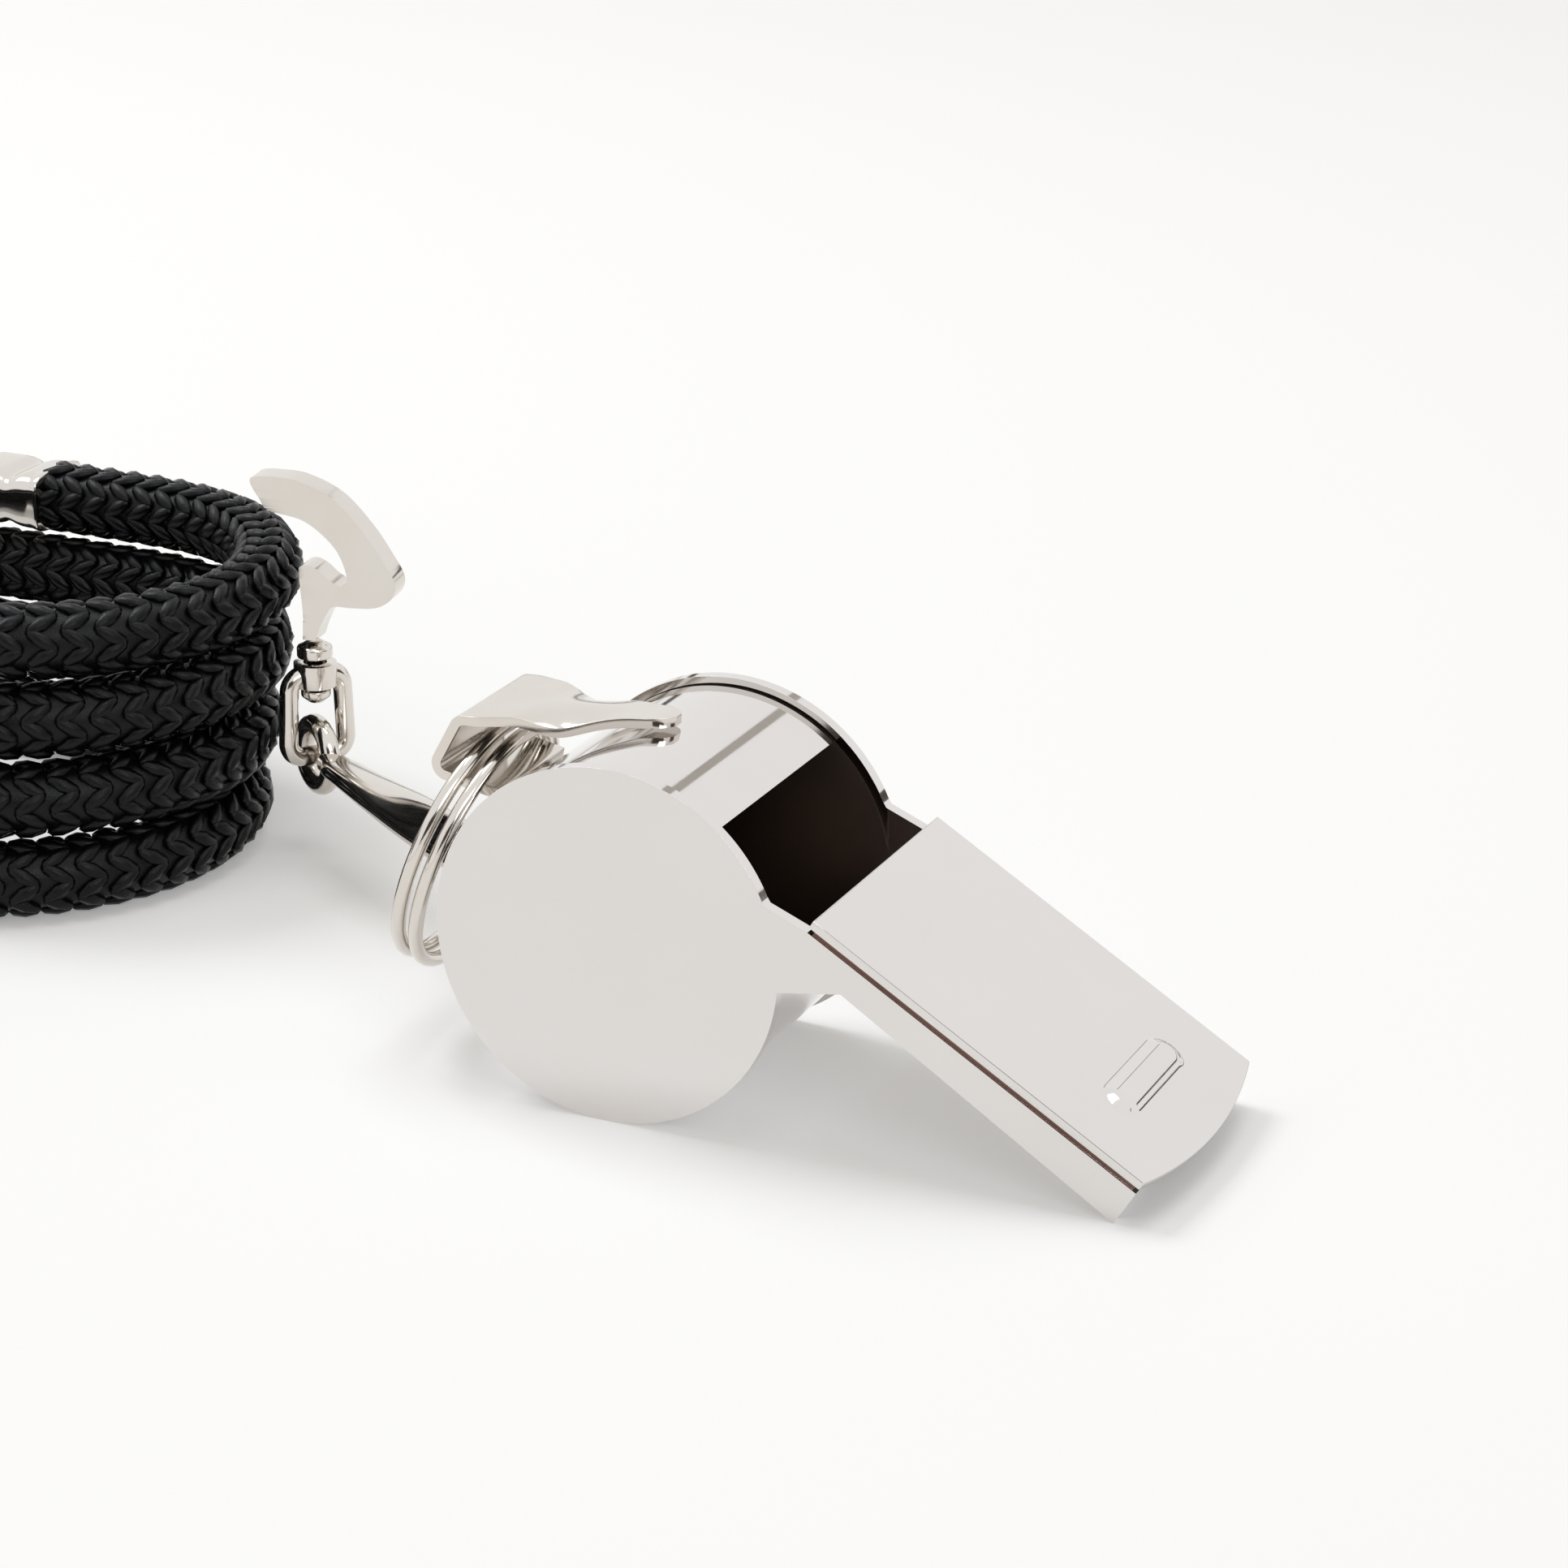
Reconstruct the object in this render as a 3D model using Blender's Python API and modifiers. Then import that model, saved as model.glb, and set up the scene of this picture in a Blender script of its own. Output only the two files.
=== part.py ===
"""A nickel-plated pea whistle with its split ring, twisted link, swivel hook and coiled black lanyard.

The whistle is modelled with its mouthpiece along +X and its barrel's axis along Y, and is then tipped
forward until the barrel and the lip both stand on the floor, as it lies when it is put down.
"""

import math

import bmesh
import bpy
from mathutils import Matrix, Vector

MM = 0.001
GAP = 0.3

# Whistle body, in millimetres, seen from the side with the barrel's axis as the origin
BARREL_RADIUS = 11.0
BODY_WIDTH = 18.4
PLATE_THICKNESS = 0.8
BAND_THICKNESS = 0.5
RIM_STAND = 0.5
WINDOW_REAR_ANGLE = 81.0
WINDOW_FRONT_X = 9.25
MOUTH_TOP_Z = 10.2
LIP_X = 32.9
LIP_BULGE = 1.2
LIP_HEIGHT = 3.3
THROAT_HEIGHT = 2.7
THROAT_X = 12.9
NECK_ANGLE = 26.6
NOTCH_ANGLE = 55.6
TOP_THICKNESS = 0.55
FLOOR_THICKNESS = 0.5
GRIP_LENGTH = 9.6
GRIP_WIDTH = 2.6
GRIP_HEIGHT = 0.55
GRIP_FROM_LIP = 4.0
PEA_RADIUS = 6.2

# Lug at the back of the barrel, a folded strip that narrows towards the front
LUG_THICKNESS = 0.6
LUG_START_ANGLE = 112.0
LUG_LEAVE_ANGLE = 128.0
LUG_FRONT_HALF = 1.5
LUG_REAR_HALF = 4.2
LUG_REACH = 5.3
LUG_SEAT_DEPTH = 2.3
LUG_SEAT_DROP = 0.6
LUG_FOOT_DROP = 3.9

# Split ring, two turns of round wire that hang from the lug behind the barrel
RING_INSET = 1.3
RING_RADIUS = BODY_WIDTH / 2 - RING_INSET
RING_WIRE = 0.9
RING_PITCH = 1.22
RING_TURNS = 1.96
RING_HANG_ANGLE = 19.1
LINK_AT_RING = 50.0

# Lanyard, wound in a long oval of four level turns, with its first turn led down outside the others
CORD_DIAMETER = 4.6
CORD_SPACING = 5.1
COIL_RADIUS = 15.2
COIL_LAYERS = 4
COIL_CENTRE = (-56.1, 19.0)
COIL_STRAIGHT = 40.0
LEVEL_LEAN = (-0.25, -1.25)
LEAD_STAND = 5.3
CRIMP_FROM_CENTRE = 13.6
CRIMP_LENGTH = 10.0
CRIMP_WIDTH = 6.4
CRIMP_HEIGHT = 4.4
ARC_STEPS = 8
LEAD_OUT = (1.2, 5.0)
LEAD_DOWN = (4.0, 12.0)
LEAD_IN = (11.0, 15.5)
CLIMB = (4.0, 12.0)

# Swivel hook over the coil's outer strand, the eye below it and the link to the ring
HOOK_BEARING = 9.0
HOOK_STAND_OFF = 19.15
HOOK_THICKNESS = 1.9
HOOK_NECK_Z = 15.1
HOOK_NECK_WIDTH = 0.9
HOOK_BASE_RISE = 3.15
HOOK_HEIGHT = 9.6
HOOK_NOSE_REACH = 3.75
HOOK_BACK_X = 4.6
HOOK_BACK_WIDTH = 3.5
HOOK_NOSE_WIDTH = 2.3
HOOK_SPUR_RISE = 1.8
EYE_WIRE = 1.3
EYE_HALF_WIDTH = 2.15
EYE_BAR_Z = 6.7
EYE_TOP_Z = 12.5
EYE_CORNER = 1.1
EYE_SHOULDER = 0.25
BOSS_RADIUS = 1.45
BOSS_HEIGHT = 1.6
PIN_RADIUS = 0.5
PIN_HEAD_RADIUS = 1.0
PIN_HEAD_HEIGHT = 0.9
COLLAR_RADIUS = 1.2
LINK_EYE_RADIUS = 2.1
LINK_EYE_WIRE = 1.4
LINK_WIDTH = 3.4
LINK_THICKNESS = 1.8
LINK_TAPER = 2.5

FACETS_SMALL = 16


def clear_scene():
    for item in list(bpy.data.objects):
        bpy.data.objects.remove(item, do_unlink=True)


def new_collection(name, hidden=False):
    collection = bpy.data.collections.new(name)
    bpy.context.scene.collection.children.link(collection)
    collection.hide_render = hidden
    return collection


def material(name, colour, roughness, metallic):
    finish = bpy.data.materials.new(name)
    finish.use_nodes = True
    shader = finish.node_tree.nodes["Principled BSDF"]
    shader.inputs["Base Color"].default_value = (*colour, 1.0)
    shader.inputs["Roughness"].default_value = roughness
    shader.inputs["Metallic"].default_value = metallic
    return finish


def add(name, mesh, collection, finish=None, parent=None):
    item = bpy.data.objects.new(name, mesh)
    collection.objects.link(item)
    if finish:
        mesh.materials.append(finish)
    if parent:
        item.parent = parent
    return item


def smooth(mesh, angle=35.0):
    mesh.shade_smooth()
    mesh.set_sharp_from_angle(angle=math.radians(angle))


def solid_from_curve(curve, name):
    """The closed mesh of a curve, with its caps welded to its sides."""
    guide = bpy.data.objects.new(name + "_guide", curve)
    bpy.context.scene.collection.objects.link(guide)
    graph = bpy.context.evaluated_depsgraph_get()
    mesh = bpy.data.meshes.new_from_object(guide.evaluated_get(graph))
    bpy.data.objects.remove(guide, do_unlink=True)
    shape = bmesh.new()
    shape.from_mesh(mesh)
    bmesh.ops.remove_doubles(shape, verts=shape.verts, dist=1e-7)
    bmesh.ops.recalc_face_normals(shape, faces=shape.faces)
    shape.to_mesh(mesh)
    shape.free()
    mesh.name = name
    return mesh


def slab(name, outlines, thickness, turn=Matrix.Identity(4)):
    """A flat outline, with holes if it has more than one loop, given a thickness about its own plane."""
    curve = bpy.data.curves.new(name + "_outline", "CURVE")
    curve.dimensions = "2D"
    curve.fill_mode = "BOTH"
    curve.extrude = thickness / 2 * MM
    for outline in outlines:
        spline = curve.splines.new("POLY")
        spline.points.add(len(outline) - 1)
        for point, (a, b) in zip(spline.points, outline):
            point.co = (a * MM, b * MM, 0, 1)
        spline.use_cyclic_u = True
    mesh = solid_from_curve(curve, name)
    mesh.transform(turn)
    return mesh


def tube(name, points, diameter, resolution, closed=False):
    """A round tube along a list of points in millimetres."""
    curve = bpy.data.curves.new(name + "_path", "CURVE")
    curve.dimensions = "3D"
    curve.bevel_depth = diameter / 2 * MM
    curve.bevel_resolution = resolution
    curve.use_fill_caps = not closed
    spline = curve.splines.new("POLY")
    spline.points.add(len(points) - 1)
    for point, place in zip(spline.points, points):
        point.co = (*(Vector(place) * MM), 1)
    spline.use_cyclic_u = closed
    return solid_from_curve(curve, name)


def side_view(offset=0.0):
    """Stands a flat outline up, so that its plane is the whistle's side view at the given Y."""
    return Matrix.Translation((0, offset * MM, 0)) @ Matrix.Rotation(math.radians(90), 4, "X")


def frame_from(x_axis, y_axis, z_axis, place):
    columns = Matrix((x_axis, y_axis, z_axis)).transposed().to_4x4()
    return Matrix.Translation(Vector(place) * MM) @ columns


def bevel(item, width, segments=2, angle=40.0):
    step = item.modifiers.new("soft_edges", "BEVEL")
    step.width = width * MM
    step.segments = segments
    step.limit_method = "ANGLE"
    step.angle_limit = math.radians(angle)


def boolean(item, other, operation):
    step = item.modifiers.new(operation.lower() + "_" + other.name, "BOOLEAN")
    step.operation = operation
    step.object = other
    other.hide_render = True
    other.display_type = "WIRE"


def polar(radius, degrees):
    return radius * math.cos(math.radians(degrees)), radius * math.sin(math.radians(degrees))


def arc(radius, start, end, steps):
    return [polar(radius, start + (end - start) * i / steps) for i in range(steps + 1)]


def rounded(corners, radius, steps=4):
    """An open line through the corners, each inner one rounded by an arc of the given radius."""
    line = [corners[0]]
    for before, corner, after in zip(corners, corners[1:], corners[2:]):
        corner = Vector(corner)
        one = (Vector(before) - corner).normalized()
        two = (Vector(after) - corner).normalized()
        half = math.acos(max(-1.0, min(1.0, one.dot(two)))) / 2
        middle = corner + (one + two).normalized() * radius / math.sin(half)
        first = corner + one * radius / math.tan(half) - middle
        last = corner + two * radius / math.tan(half) - middle
        sweep = first.angle_signed(last)
        for i in range(steps + 1):
            spun = first.copy()
            spun.rotate(Matrix.Rotation(-sweep * i / steps, 2))
            line.append(tuple(middle + spun))
    line.append(corners[-1])
    return line


def strip(line, thickness):
    """The closed outline of a sheet of the given thickness that follows an open line."""
    left, right = [], []
    for i, point in enumerate(line):
        before = Vector(line[max(i - 1, 0)])
        after = Vector(line[min(i + 1, len(line) - 1)])
        along = (after - before).normalized()
        across = Vector((-along.y, along.x)) * thickness / 2
        left.append(tuple(Vector(point) + across))
        right.append(tuple(Vector(point) - across))
    return left + right[::-1]


# Sizes that the pieces share
BAND_RADIUS = BARREL_RADIUS - RIM_STAND
CHAMBER_RADIUS = BAND_RADIUS - BAND_THICKNESS
INNER_WIDTH = BODY_WIDTH - 2 * PLATE_THICKNESS - 2 * GAP
SIDE_TOP_Z = MOUTH_TOP_Z - TOP_THICKNESS - GAP
LIP_BOTTOM_Z = MOUTH_TOP_Z - LIP_HEIGHT
THROAT_Z = MOUTH_TOP_Z - THROAT_HEIGHT
FLOOR_Z = FLOOR_THICKNESS / 2 + 0.1
REACH = math.hypot(LIP_X, LIP_BOTTOM_Z)
TILT = math.atan2(LIP_BOTTOM_Z, LIP_X) + math.asin(BARREL_RADIUS / REACH)
PEA_ORBIT = CHAMBER_RADIUS - PEA_RADIUS - GAP


def whistle_to_floor(x, z):
    """A point of the whistle's own side view, as it lies once the whistle is tipped forward."""
    return (
        x * math.cos(TILT) + z * math.sin(TILT),
        -x * math.sin(TILT) + z * math.cos(TILT) + BARREL_RADIUS,
    )


def make_side_plates(parts, nickel, whistle):
    neck = polar(BARREL_RADIUS, NECK_ANGLE)
    notch = polar(BARREL_RADIUS, NOTCH_ANGLE)
    outline = arc(BARREL_RADIUS, NOTCH_ANGLE, 360 + NECK_ANGLE, 72)
    outline += [(THROAT_X, THROAT_Z), (LIP_X, LIP_BOTTOM_Z), (LIP_X, SIDE_TOP_Z)]
    outline += [(WINDOW_FRONT_X, SIDE_TOP_Z), (notch[0] + GAP, notch[1] - GAP / 2)]
    assert neck[0] < THROAT_X
    middle = (BODY_WIDTH - PLATE_THICKNESS) / 2
    for name, side in (("side_plate_right", -1), ("side_plate_left", 1)):
        mesh = slab(name, [outline], PLATE_THICKNESS, side_view(side * middle))
        plate = add(name, mesh, parts, nickel, whistle)
        bevel(plate, 0.16)
        smooth(mesh)


def make_barrel_band(parts, nickel, whistle):
    line = arc(BAND_RADIUS - BAND_THICKNESS / 2, WINDOW_REAR_ANGLE, 360 + NECK_ANGLE - 3, 60)
    mesh = slab("barrel_band", [strip(line, BAND_THICKNESS)], INNER_WIDTH, side_view())
    add("barrel_band", mesh, parts, nickel, whistle)
    smooth(mesh)


def make_mouthpiece_floor(parts, nickel, whistle):
    start = polar(BAND_RADIUS + GAP, NECK_ANGLE + 1)
    line = rounded(
        [
            start,
            (THROAT_X, THROAT_Z + FLOOR_Z),
            (LIP_X - 0.4, LIP_BOTTOM_Z + FLOOR_Z),
        ],
        1.0,
    )
    mesh = slab("mouthpiece_floor", [strip(line, FLOOR_THICKNESS)], INNER_WIDTH, side_view())
    add("mouthpiece_floor", mesh, parts, nickel, whistle)
    smooth(mesh)


def stadium(length, width, centre_x, steps=8):
    """A long round-ended outline across the mouthpiece."""
    run = (length - width) / 2
    right = [(centre_x + x, run + y) for x, y in arc(width / 2, 0, 180, steps)]
    left = [(centre_x + x, -run + y) for x, y in arc(width / 2, 180, 360, steps)]
    return right + left


def make_mouthpiece_top(parts, cutters, nickel, whistle):
    half = BODY_WIDTH / 2
    lip_radius = (half**2 + LIP_BULGE**2) / (2 * LIP_BULGE)
    centre_x = LIP_X + LIP_BULGE - lip_radius
    spread = math.degrees(math.asin(half / lip_radius))
    lip = [(centre_x + x, y) for x, y in arc(lip_radius, -spread, spread, 16)]
    outline = lip + [(WINDOW_FRONT_X, half), (WINDOW_FRONT_X, -half)]
    lift = Matrix.Translation((0, 0, (MOUTH_TOP_Z - TOP_THICKNESS / 2) * MM))
    mesh = slab("mouthpiece_top", [outline], TOP_THICKNESS, lift)
    top = add("mouthpiece_top", mesh, parts, nickel, whistle)
    grip_x = LIP_X - GRIP_FROM_LIP
    rise = Matrix.Translation((0, 0, (MOUTH_TOP_Z - TOP_THICKNESS / 2) * MM))
    grip_mesh = slab("grip_bar", [stadium(GRIP_LENGTH, GRIP_WIDTH, grip_x)], 2 * GRIP_HEIGHT, rise)
    grip = add("grip_bar", grip_mesh, cutters, None, whistle)
    bevel(grip, GRIP_HEIGHT * 0.5, 2)
    boolean(top, grip, "UNION")
    smooth(mesh)


def lug_corners():
    """The strip's run: along the band, straight back, down the open mouth and home to the band."""
    middle = BAND_RADIUS + GAP + LUG_THICKNESS / 2
    rear_x = -(BAND_RADIUS + LUG_REACH)
    leave = polar(middle, LUG_LEAVE_ANGLE)
    slope = (-math.sin(math.radians(LUG_LEAVE_ANGLE)), math.cos(math.radians(LUG_LEAVE_ANGLE)))
    run = (rear_x - leave[0]) / slope[0]
    rear = (rear_x, leave[1] + slope[1] * run + 1.0)
    foot = (rear_x + 0.2, rear[1] - LUG_FOOT_DROP)
    home = (-(middle + 0.1), foot[1] + 1.6)
    return leave, rear, foot, home


def ring_seat():
    """The middle of the lug's tunnel, in the whistle's side view."""
    leave, rear, foot, home = lug_corners()
    return rear[0] + LUG_SEAT_DEPTH, rear[1] - LUG_SEAT_DROP


def make_lug(parts, cutters, nickel, whistle):
    leave, rear, foot, home = lug_corners()
    middle = BAND_RADIUS + GAP + LUG_THICKNESS / 2
    line = arc(middle, LUG_START_ANGLE, LUG_LEAVE_ANGLE, 5)[:-1]
    line += rounded([leave, rear, foot, home], 0.7)
    mesh = slab("lanyard_lug", [strip(line, LUG_THICKNESS)], 2 * LUG_REAR_HALF + 1, side_view())
    lug = add("lanyard_lug", mesh, parts, nickel, whistle)
    front_x = polar(middle, LUG_START_ANGLE)[0] + 1.5
    plan = [
        (front_x, -LUG_FRONT_HALF),
        (front_x, LUG_FRONT_HALF),
        (rear[0] + 2.0, LUG_REAR_HALF),
        (rear[0] - 2.0, LUG_REAR_HALF),
        (rear[0] - 2.0, -LUG_REAR_HALF),
        (rear[0] + 2.0, -LUG_REAR_HALF),
    ]
    trim = add("lug_plan", slab("lug_plan", [plan], 40.0), cutters, None, whistle)
    boolean(lug, trim, "INTERSECT")
    smooth(mesh)


def make_pea(parts, cork, whistle):
    mesh = bpy.data.meshes.new("pea")
    shape = bmesh.new()
    bmesh.ops.create_uvsphere(shape, u_segments=24, v_segments=14, radius=PEA_RADIUS * MM)
    shape.to_mesh(mesh)
    shape.free()
    mesh.shade_smooth()
    pea = add("pea", mesh, parts, cork)
    pivot = bpy.data.objects.new("barrel_axis", None)
    parts.objects.link(pivot)
    pivot.parent = whistle
    pea.parent = pivot
    down = Vector((math.sin(TILT), 0, -math.cos(TILT))) * PEA_ORBIT * MM
    pea.location = down
    return pivot


def ring_frame():
    """Hanging direction and place of the split ring, which lies in the plane of Y and that direction."""
    x, z = whistle_to_floor(*ring_seat())
    hang = Vector((-math.sin(math.radians(RING_HANG_ANGLE)), 0, -math.cos(math.radians(RING_HANG_ANGLE))))
    top = Vector((x, 0, z))
    return top, hang, top + hang * RING_RADIUS


def ring_point(degrees):
    """A point of the ring's middle line and its direction there, counted from its lowest point."""
    top, hang, centre = ring_frame()
    a = math.radians(degrees)
    across = Vector((0, 1, 0))
    return (
        centre + (hang * math.cos(a) + across * math.sin(a)) * RING_RADIUS,
        (across * math.cos(a) - hang * math.sin(a)).normalized(),
    )


def make_split_ring(parts, steel):
    top, hang, centre = ring_frame()
    normal = hang.cross(Vector((0, 1, 0)))
    steps = int(36 * RING_TURNS)
    points = []
    for i in range(steps + 1):
        turn = RING_TURNS * i / steps
        a = math.radians(360 * turn + 100)
        rise = max(-0.5, min(0.5, (turn - RING_TURNS / 2) / 0.45)) * RING_PITCH
        spoke = hang * math.cos(a) + Vector((0, math.sin(a), 0))
        points.append(centre + spoke * RING_RADIUS + normal * rise)
    mesh = tube("split_ring", points, RING_WIRE, 2)
    add("split_ring", mesh, parts, steel)
    smooth(mesh)


def ease(value):
    value = max(0.0, min(1.0, value))
    return value * value * (3 - 2 * value)


def between(step, span):
    return ease((step - span[0]) / (span[1] - span[0]))


def oval_steps():
    """Middles and outward directions round the oval, from the crimp along the back and round the left."""
    x, y = COIL_CENTRE
    far = COIL_STRAIGHT - CRIMP_FROM_CENTRE
    steps = [((x - CRIMP_FROM_CENTRE - far * i / 3, y), 90.0) for i in range(3)]
    steps += [((x - COIL_STRAIGHT, y), 90.0 + 180.0 * i / ARC_STEPS) for i in range(ARC_STEPS)]
    steps += [((x - COIL_STRAIGHT * (1 - i / 4), y), 270.0) for i in range(4)]
    steps += [((x, y), 270.0 + 180.0 * i / ARC_STEPS) for i in range(ARC_STEPS + 1)]
    return steps


def oval_place(step, stand, z):
    (x, y), degrees = oval_steps()[step % len(oval_steps())]
    a, b = polar(COIL_RADIUS + stand, degrees)
    below = COIL_LAYERS - 1 - (z - CORD_DIAMETER / 2) / CORD_SPACING
    return Vector((x + a + LEVEL_LEAN[0] * below, y + b + LEVEL_LEAN[1] * below, z))


def coil_points():
    """Middle line of the lanyard: from the crimp, down outside the coil, then round and up its four turns."""
    loop = len(oval_steps())
    low, high = CORD_DIAMETER / 2, CORD_DIAMETER / 2 + CORD_SPACING * (COIL_LAYERS - 1)
    points = []
    for step in range(2, COIL_LAYERS * loop):
        turn, place = divmod(step, loop)
        if turn == 0:
            stand = LEAD_STAND * (between(place, LEAD_OUT) - between(place, LEAD_IN))
            points.append(oval_place(place, stand, high + (low - high) * between(place, LEAD_DOWN)))
        else:
            points.append(oval_place(place, 0.0, low + CORD_SPACING * (turn - 1 + between(place, CLIMB))))
    return straight_start() + points + straight_end()


def crimp_frame():
    centre = oval_place(0, 0.0, CORD_DIAMETER / 2 + CORD_SPACING * (COIL_LAYERS - 1))
    return centre, Vector((-1, 0, 0)), Vector((0, 1, 0))


def straight_start():
    centre, along, out = crimp_frame()
    reach = CRIMP_LENGTH / 2 + GAP
    return [centre + along * reach, centre + along * (reach + CORD_DIAMETER)]


def straight_end():
    centre, along, out = crimp_frame()
    reach = CRIMP_LENGTH / 2 + GAP
    return [centre - along * (reach + CORD_DIAMETER), centre - along * reach]


def least_gap(points):
    """Smallest clear distance between stretches of the cord that aren't neighbours along it."""
    dense = []
    for one, two in zip(points, points[1:]):
        dense += [one.lerp(two, i / 4) for i in range(4)]
    travelled = [0.0]
    for one, two in zip(dense, dense[1:]):
        travelled.append(travelled[-1] + (two - one).length)
    least = 1e9
    for i, one in enumerate(dense):
        for j in range(i + 1, len(dense)):
            if travelled[j] - travelled[i] > 4 * CORD_DIAMETER:
                least = min(least, (dense[j] - one).length)
    return least - CORD_DIAMETER, travelled[-1]


def make_lanyard(parts, black_cord, steel):
    points = coil_points()
    gap, length = least_gap(points)
    print(f"lanyard cord {length:.0f} mm long, least gap to itself {gap:.2f} mm")
    mesh = tube("lanyard_cord", points, CORD_DIAMETER, 1)
    add("lanyard_cord", mesh, parts, black_cord)
    smooth(mesh, 70)
    centre, along, out = crimp_frame()
    outline = [(-1, -1), (1, -1), (1, 1), (-1, 1)]
    outline = [(x * CRIMP_LENGTH / 2, y * CRIMP_WIDTH / 2) for x, y in outline]
    place = frame_from(along, -out, Vector((0, 0, 1)), centre)
    crimp_mesh = slab("crimp_sleeve", [outline], CRIMP_HEIGHT, place)
    crimp = add("crimp_sleeve", crimp_mesh, parts, steel)
    bevel(crimp, 1.3, 3)
    smooth(crimp_mesh)


def hook_frame():
    """Foot of the hook's stem, the direction out from the coil and the direction along its strand."""
    a = math.radians(HOOK_BEARING)
    out = Vector((math.cos(a), math.sin(a), 0))
    foot = Vector((*COIL_CENTRE, 0)) + out * HOOK_STAND_OFF
    return foot, out, Vector((-math.sin(a), math.cos(a), 0))


def curve_through(points, steps):
    """A smooth line through the given points, each a tuple of any length."""
    line = []
    padded = [points[0]] + list(points) + [points[-1]]
    for p0, p1, p2, p3 in zip(padded, padded[1:], padded[2:], padded[3:]):
        for i in range(steps):
            t = i / steps
            line.append(
                tuple(
                    0.5
                    * (
                        2 * b
                        + (c - a) * t
                        + (2 * a - 5 * b + 4 * c - d) * t * t
                        + (3 * b - a - 3 * c + d) * t * t * t
                    )
                    for a, b, c, d in zip(p0, p1, p2, p3)
                )
            )
    return line + [tuple(points[-1])]


def tapered_band(points, steps):
    """Closed outline of a band that follows (across, up, width) points."""
    line = curve_through(points, steps)
    left, right = [], []
    for i, (a, b, width) in enumerate(line):
        before, after = line[max(i - 1, 0)], line[min(i + 1, len(line) - 1)]
        along = Vector((after[0] - before[0], after[1] - before[1])).normalized()
        across = Vector((-along.y, along.x)) * width / 2
        left.append((a + across.x, b + across.y))
        right.append((a - across.x, b - across.y))
    return left + right[::-1]


def make_hook(parts, cutters, steel):
    foot, out, along = hook_frame()
    base_z = HOOK_NECK_Z + HOOK_BASE_RISE
    nose_z = HOOK_NECK_Z + HOOK_HEIGHT
    place = frame_from(out, Vector((0, 0, 1)), -along, foot)
    arm = [
        (HOOK_BACK_X, base_z, HOOK_BACK_WIDTH * 0.8),
        (HOOK_BACK_X, base_z + HOOK_HEIGHT * 0.13, HOOK_BACK_WIDTH),
        (HOOK_BACK_X * 0.9, nose_z - HOOK_HEIGHT * 0.41, HOOK_BACK_WIDTH),
        (HOOK_BACK_X * 0.63, nose_z - HOOK_HEIGHT * 0.22, HOOK_BACK_WIDTH * 0.88),
        (HOOK_BACK_X * 0.35, nose_z - HOOK_HEIGHT * 0.1, HOOK_BACK_WIDTH * 0.77),
        (-HOOK_NOSE_REACH * 0.1, nose_z - HOOK_HEIGHT * 0.01, (HOOK_BACK_WIDTH + HOOK_NOSE_WIDTH) / 2 - 0.4),
        (-HOOK_NOSE_REACH, nose_z, HOOK_NOSE_WIDTH),
    ]
    mesh = slab("hook_body", [tapered_band(arm, 6)], HOOK_THICKNESS, place)
    hook = add("hook_body", mesh, parts, steel)
    half = HOOK_NECK_WIDTH / 2
    thumb = [
        (-half, HOOK_NECK_Z),
        (half, HOOK_NECK_Z),
        (half * 2.1, HOOK_NECK_Z + HOOK_BASE_RISE * 0.4),
        (half * 3.8, base_z - 0.75),
        (HOOK_BACK_X + 0.6, base_z - 0.6),
        (HOOK_BACK_X, base_z + 0.8),
        (half * 4.9, base_z + 0.75),
        (half * 2.6, base_z + 0.6),
        (half * 0.7, base_z + HOOK_SPUR_RISE * 0.6),
        (-half * 0.8, base_z + HOOK_SPUR_RISE),
        (-half * 1.7, base_z + HOOK_SPUR_RISE * 0.9),
        (-half, base_z - 0.6),
    ]
    neck = add("hook_neck", slab("hook_neck", [thumb], HOOK_THICKNESS + 0.3, place), cutters)
    boolean(hook, neck, "UNION")
    bevel(hook, 0.35, 2, 50)
    smooth(mesh)


def lathe(name, profile, place, facets=FACETS_SMALL):
    """A turned solid from (radius, height) pairs, listed from the top down its outer side."""
    shape = bmesh.new()
    verts = [shape.verts.new((r * MM, 0, z * MM)) for r, z in profile]
    edges = [shape.edges.new(pair) for pair in zip(verts, verts[1:])]
    bmesh.ops.spin(
        shape,
        geom=verts + edges,
        cent=(0, 0, 0),
        axis=(0, 0, 1),
        angle=math.tau,
        steps=facets,
    )
    bmesh.ops.remove_doubles(shape, verts=shape.verts, dist=1e-6)
    bmesh.ops.recalc_face_normals(shape, faces=shape.faces)
    mesh = bpy.data.meshes.new(name)
    shape.to_mesh(mesh)
    shape.free()
    mesh.transform(place)
    return mesh


def make_swivel_pin(parts, steel):
    foot, out, along = hook_frame()
    head_top = EYE_TOP_Z - BOSS_HEIGHT / 2 - GAP
    boss_top = EYE_TOP_Z + BOSS_HEIGHT / 2
    pin_top = HOOK_NECK_Z - GAP
    collar_low = boss_top + GAP
    profile = [
        (0, pin_top),
        (PIN_RADIUS, pin_top),
        (COLLAR_RADIUS, (pin_top + collar_low) / 2 + 0.2),
        (COLLAR_RADIUS, collar_low + 0.1),
        (PIN_RADIUS, collar_low),
        (PIN_RADIUS, head_top),
        (PIN_HEAD_RADIUS, head_top),
        (PIN_HEAD_RADIUS, head_top - PIN_HEAD_HEIGHT / 2),
        (PIN_RADIUS, head_top - PIN_HEAD_HEIGHT),
        (0, head_top - PIN_HEAD_HEIGHT),
    ]
    mesh = lathe("swivel_pin", profile, Matrix.Translation(foot * MM))
    add("swivel_pin", mesh, parts, steel)
    smooth(mesh)


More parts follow.
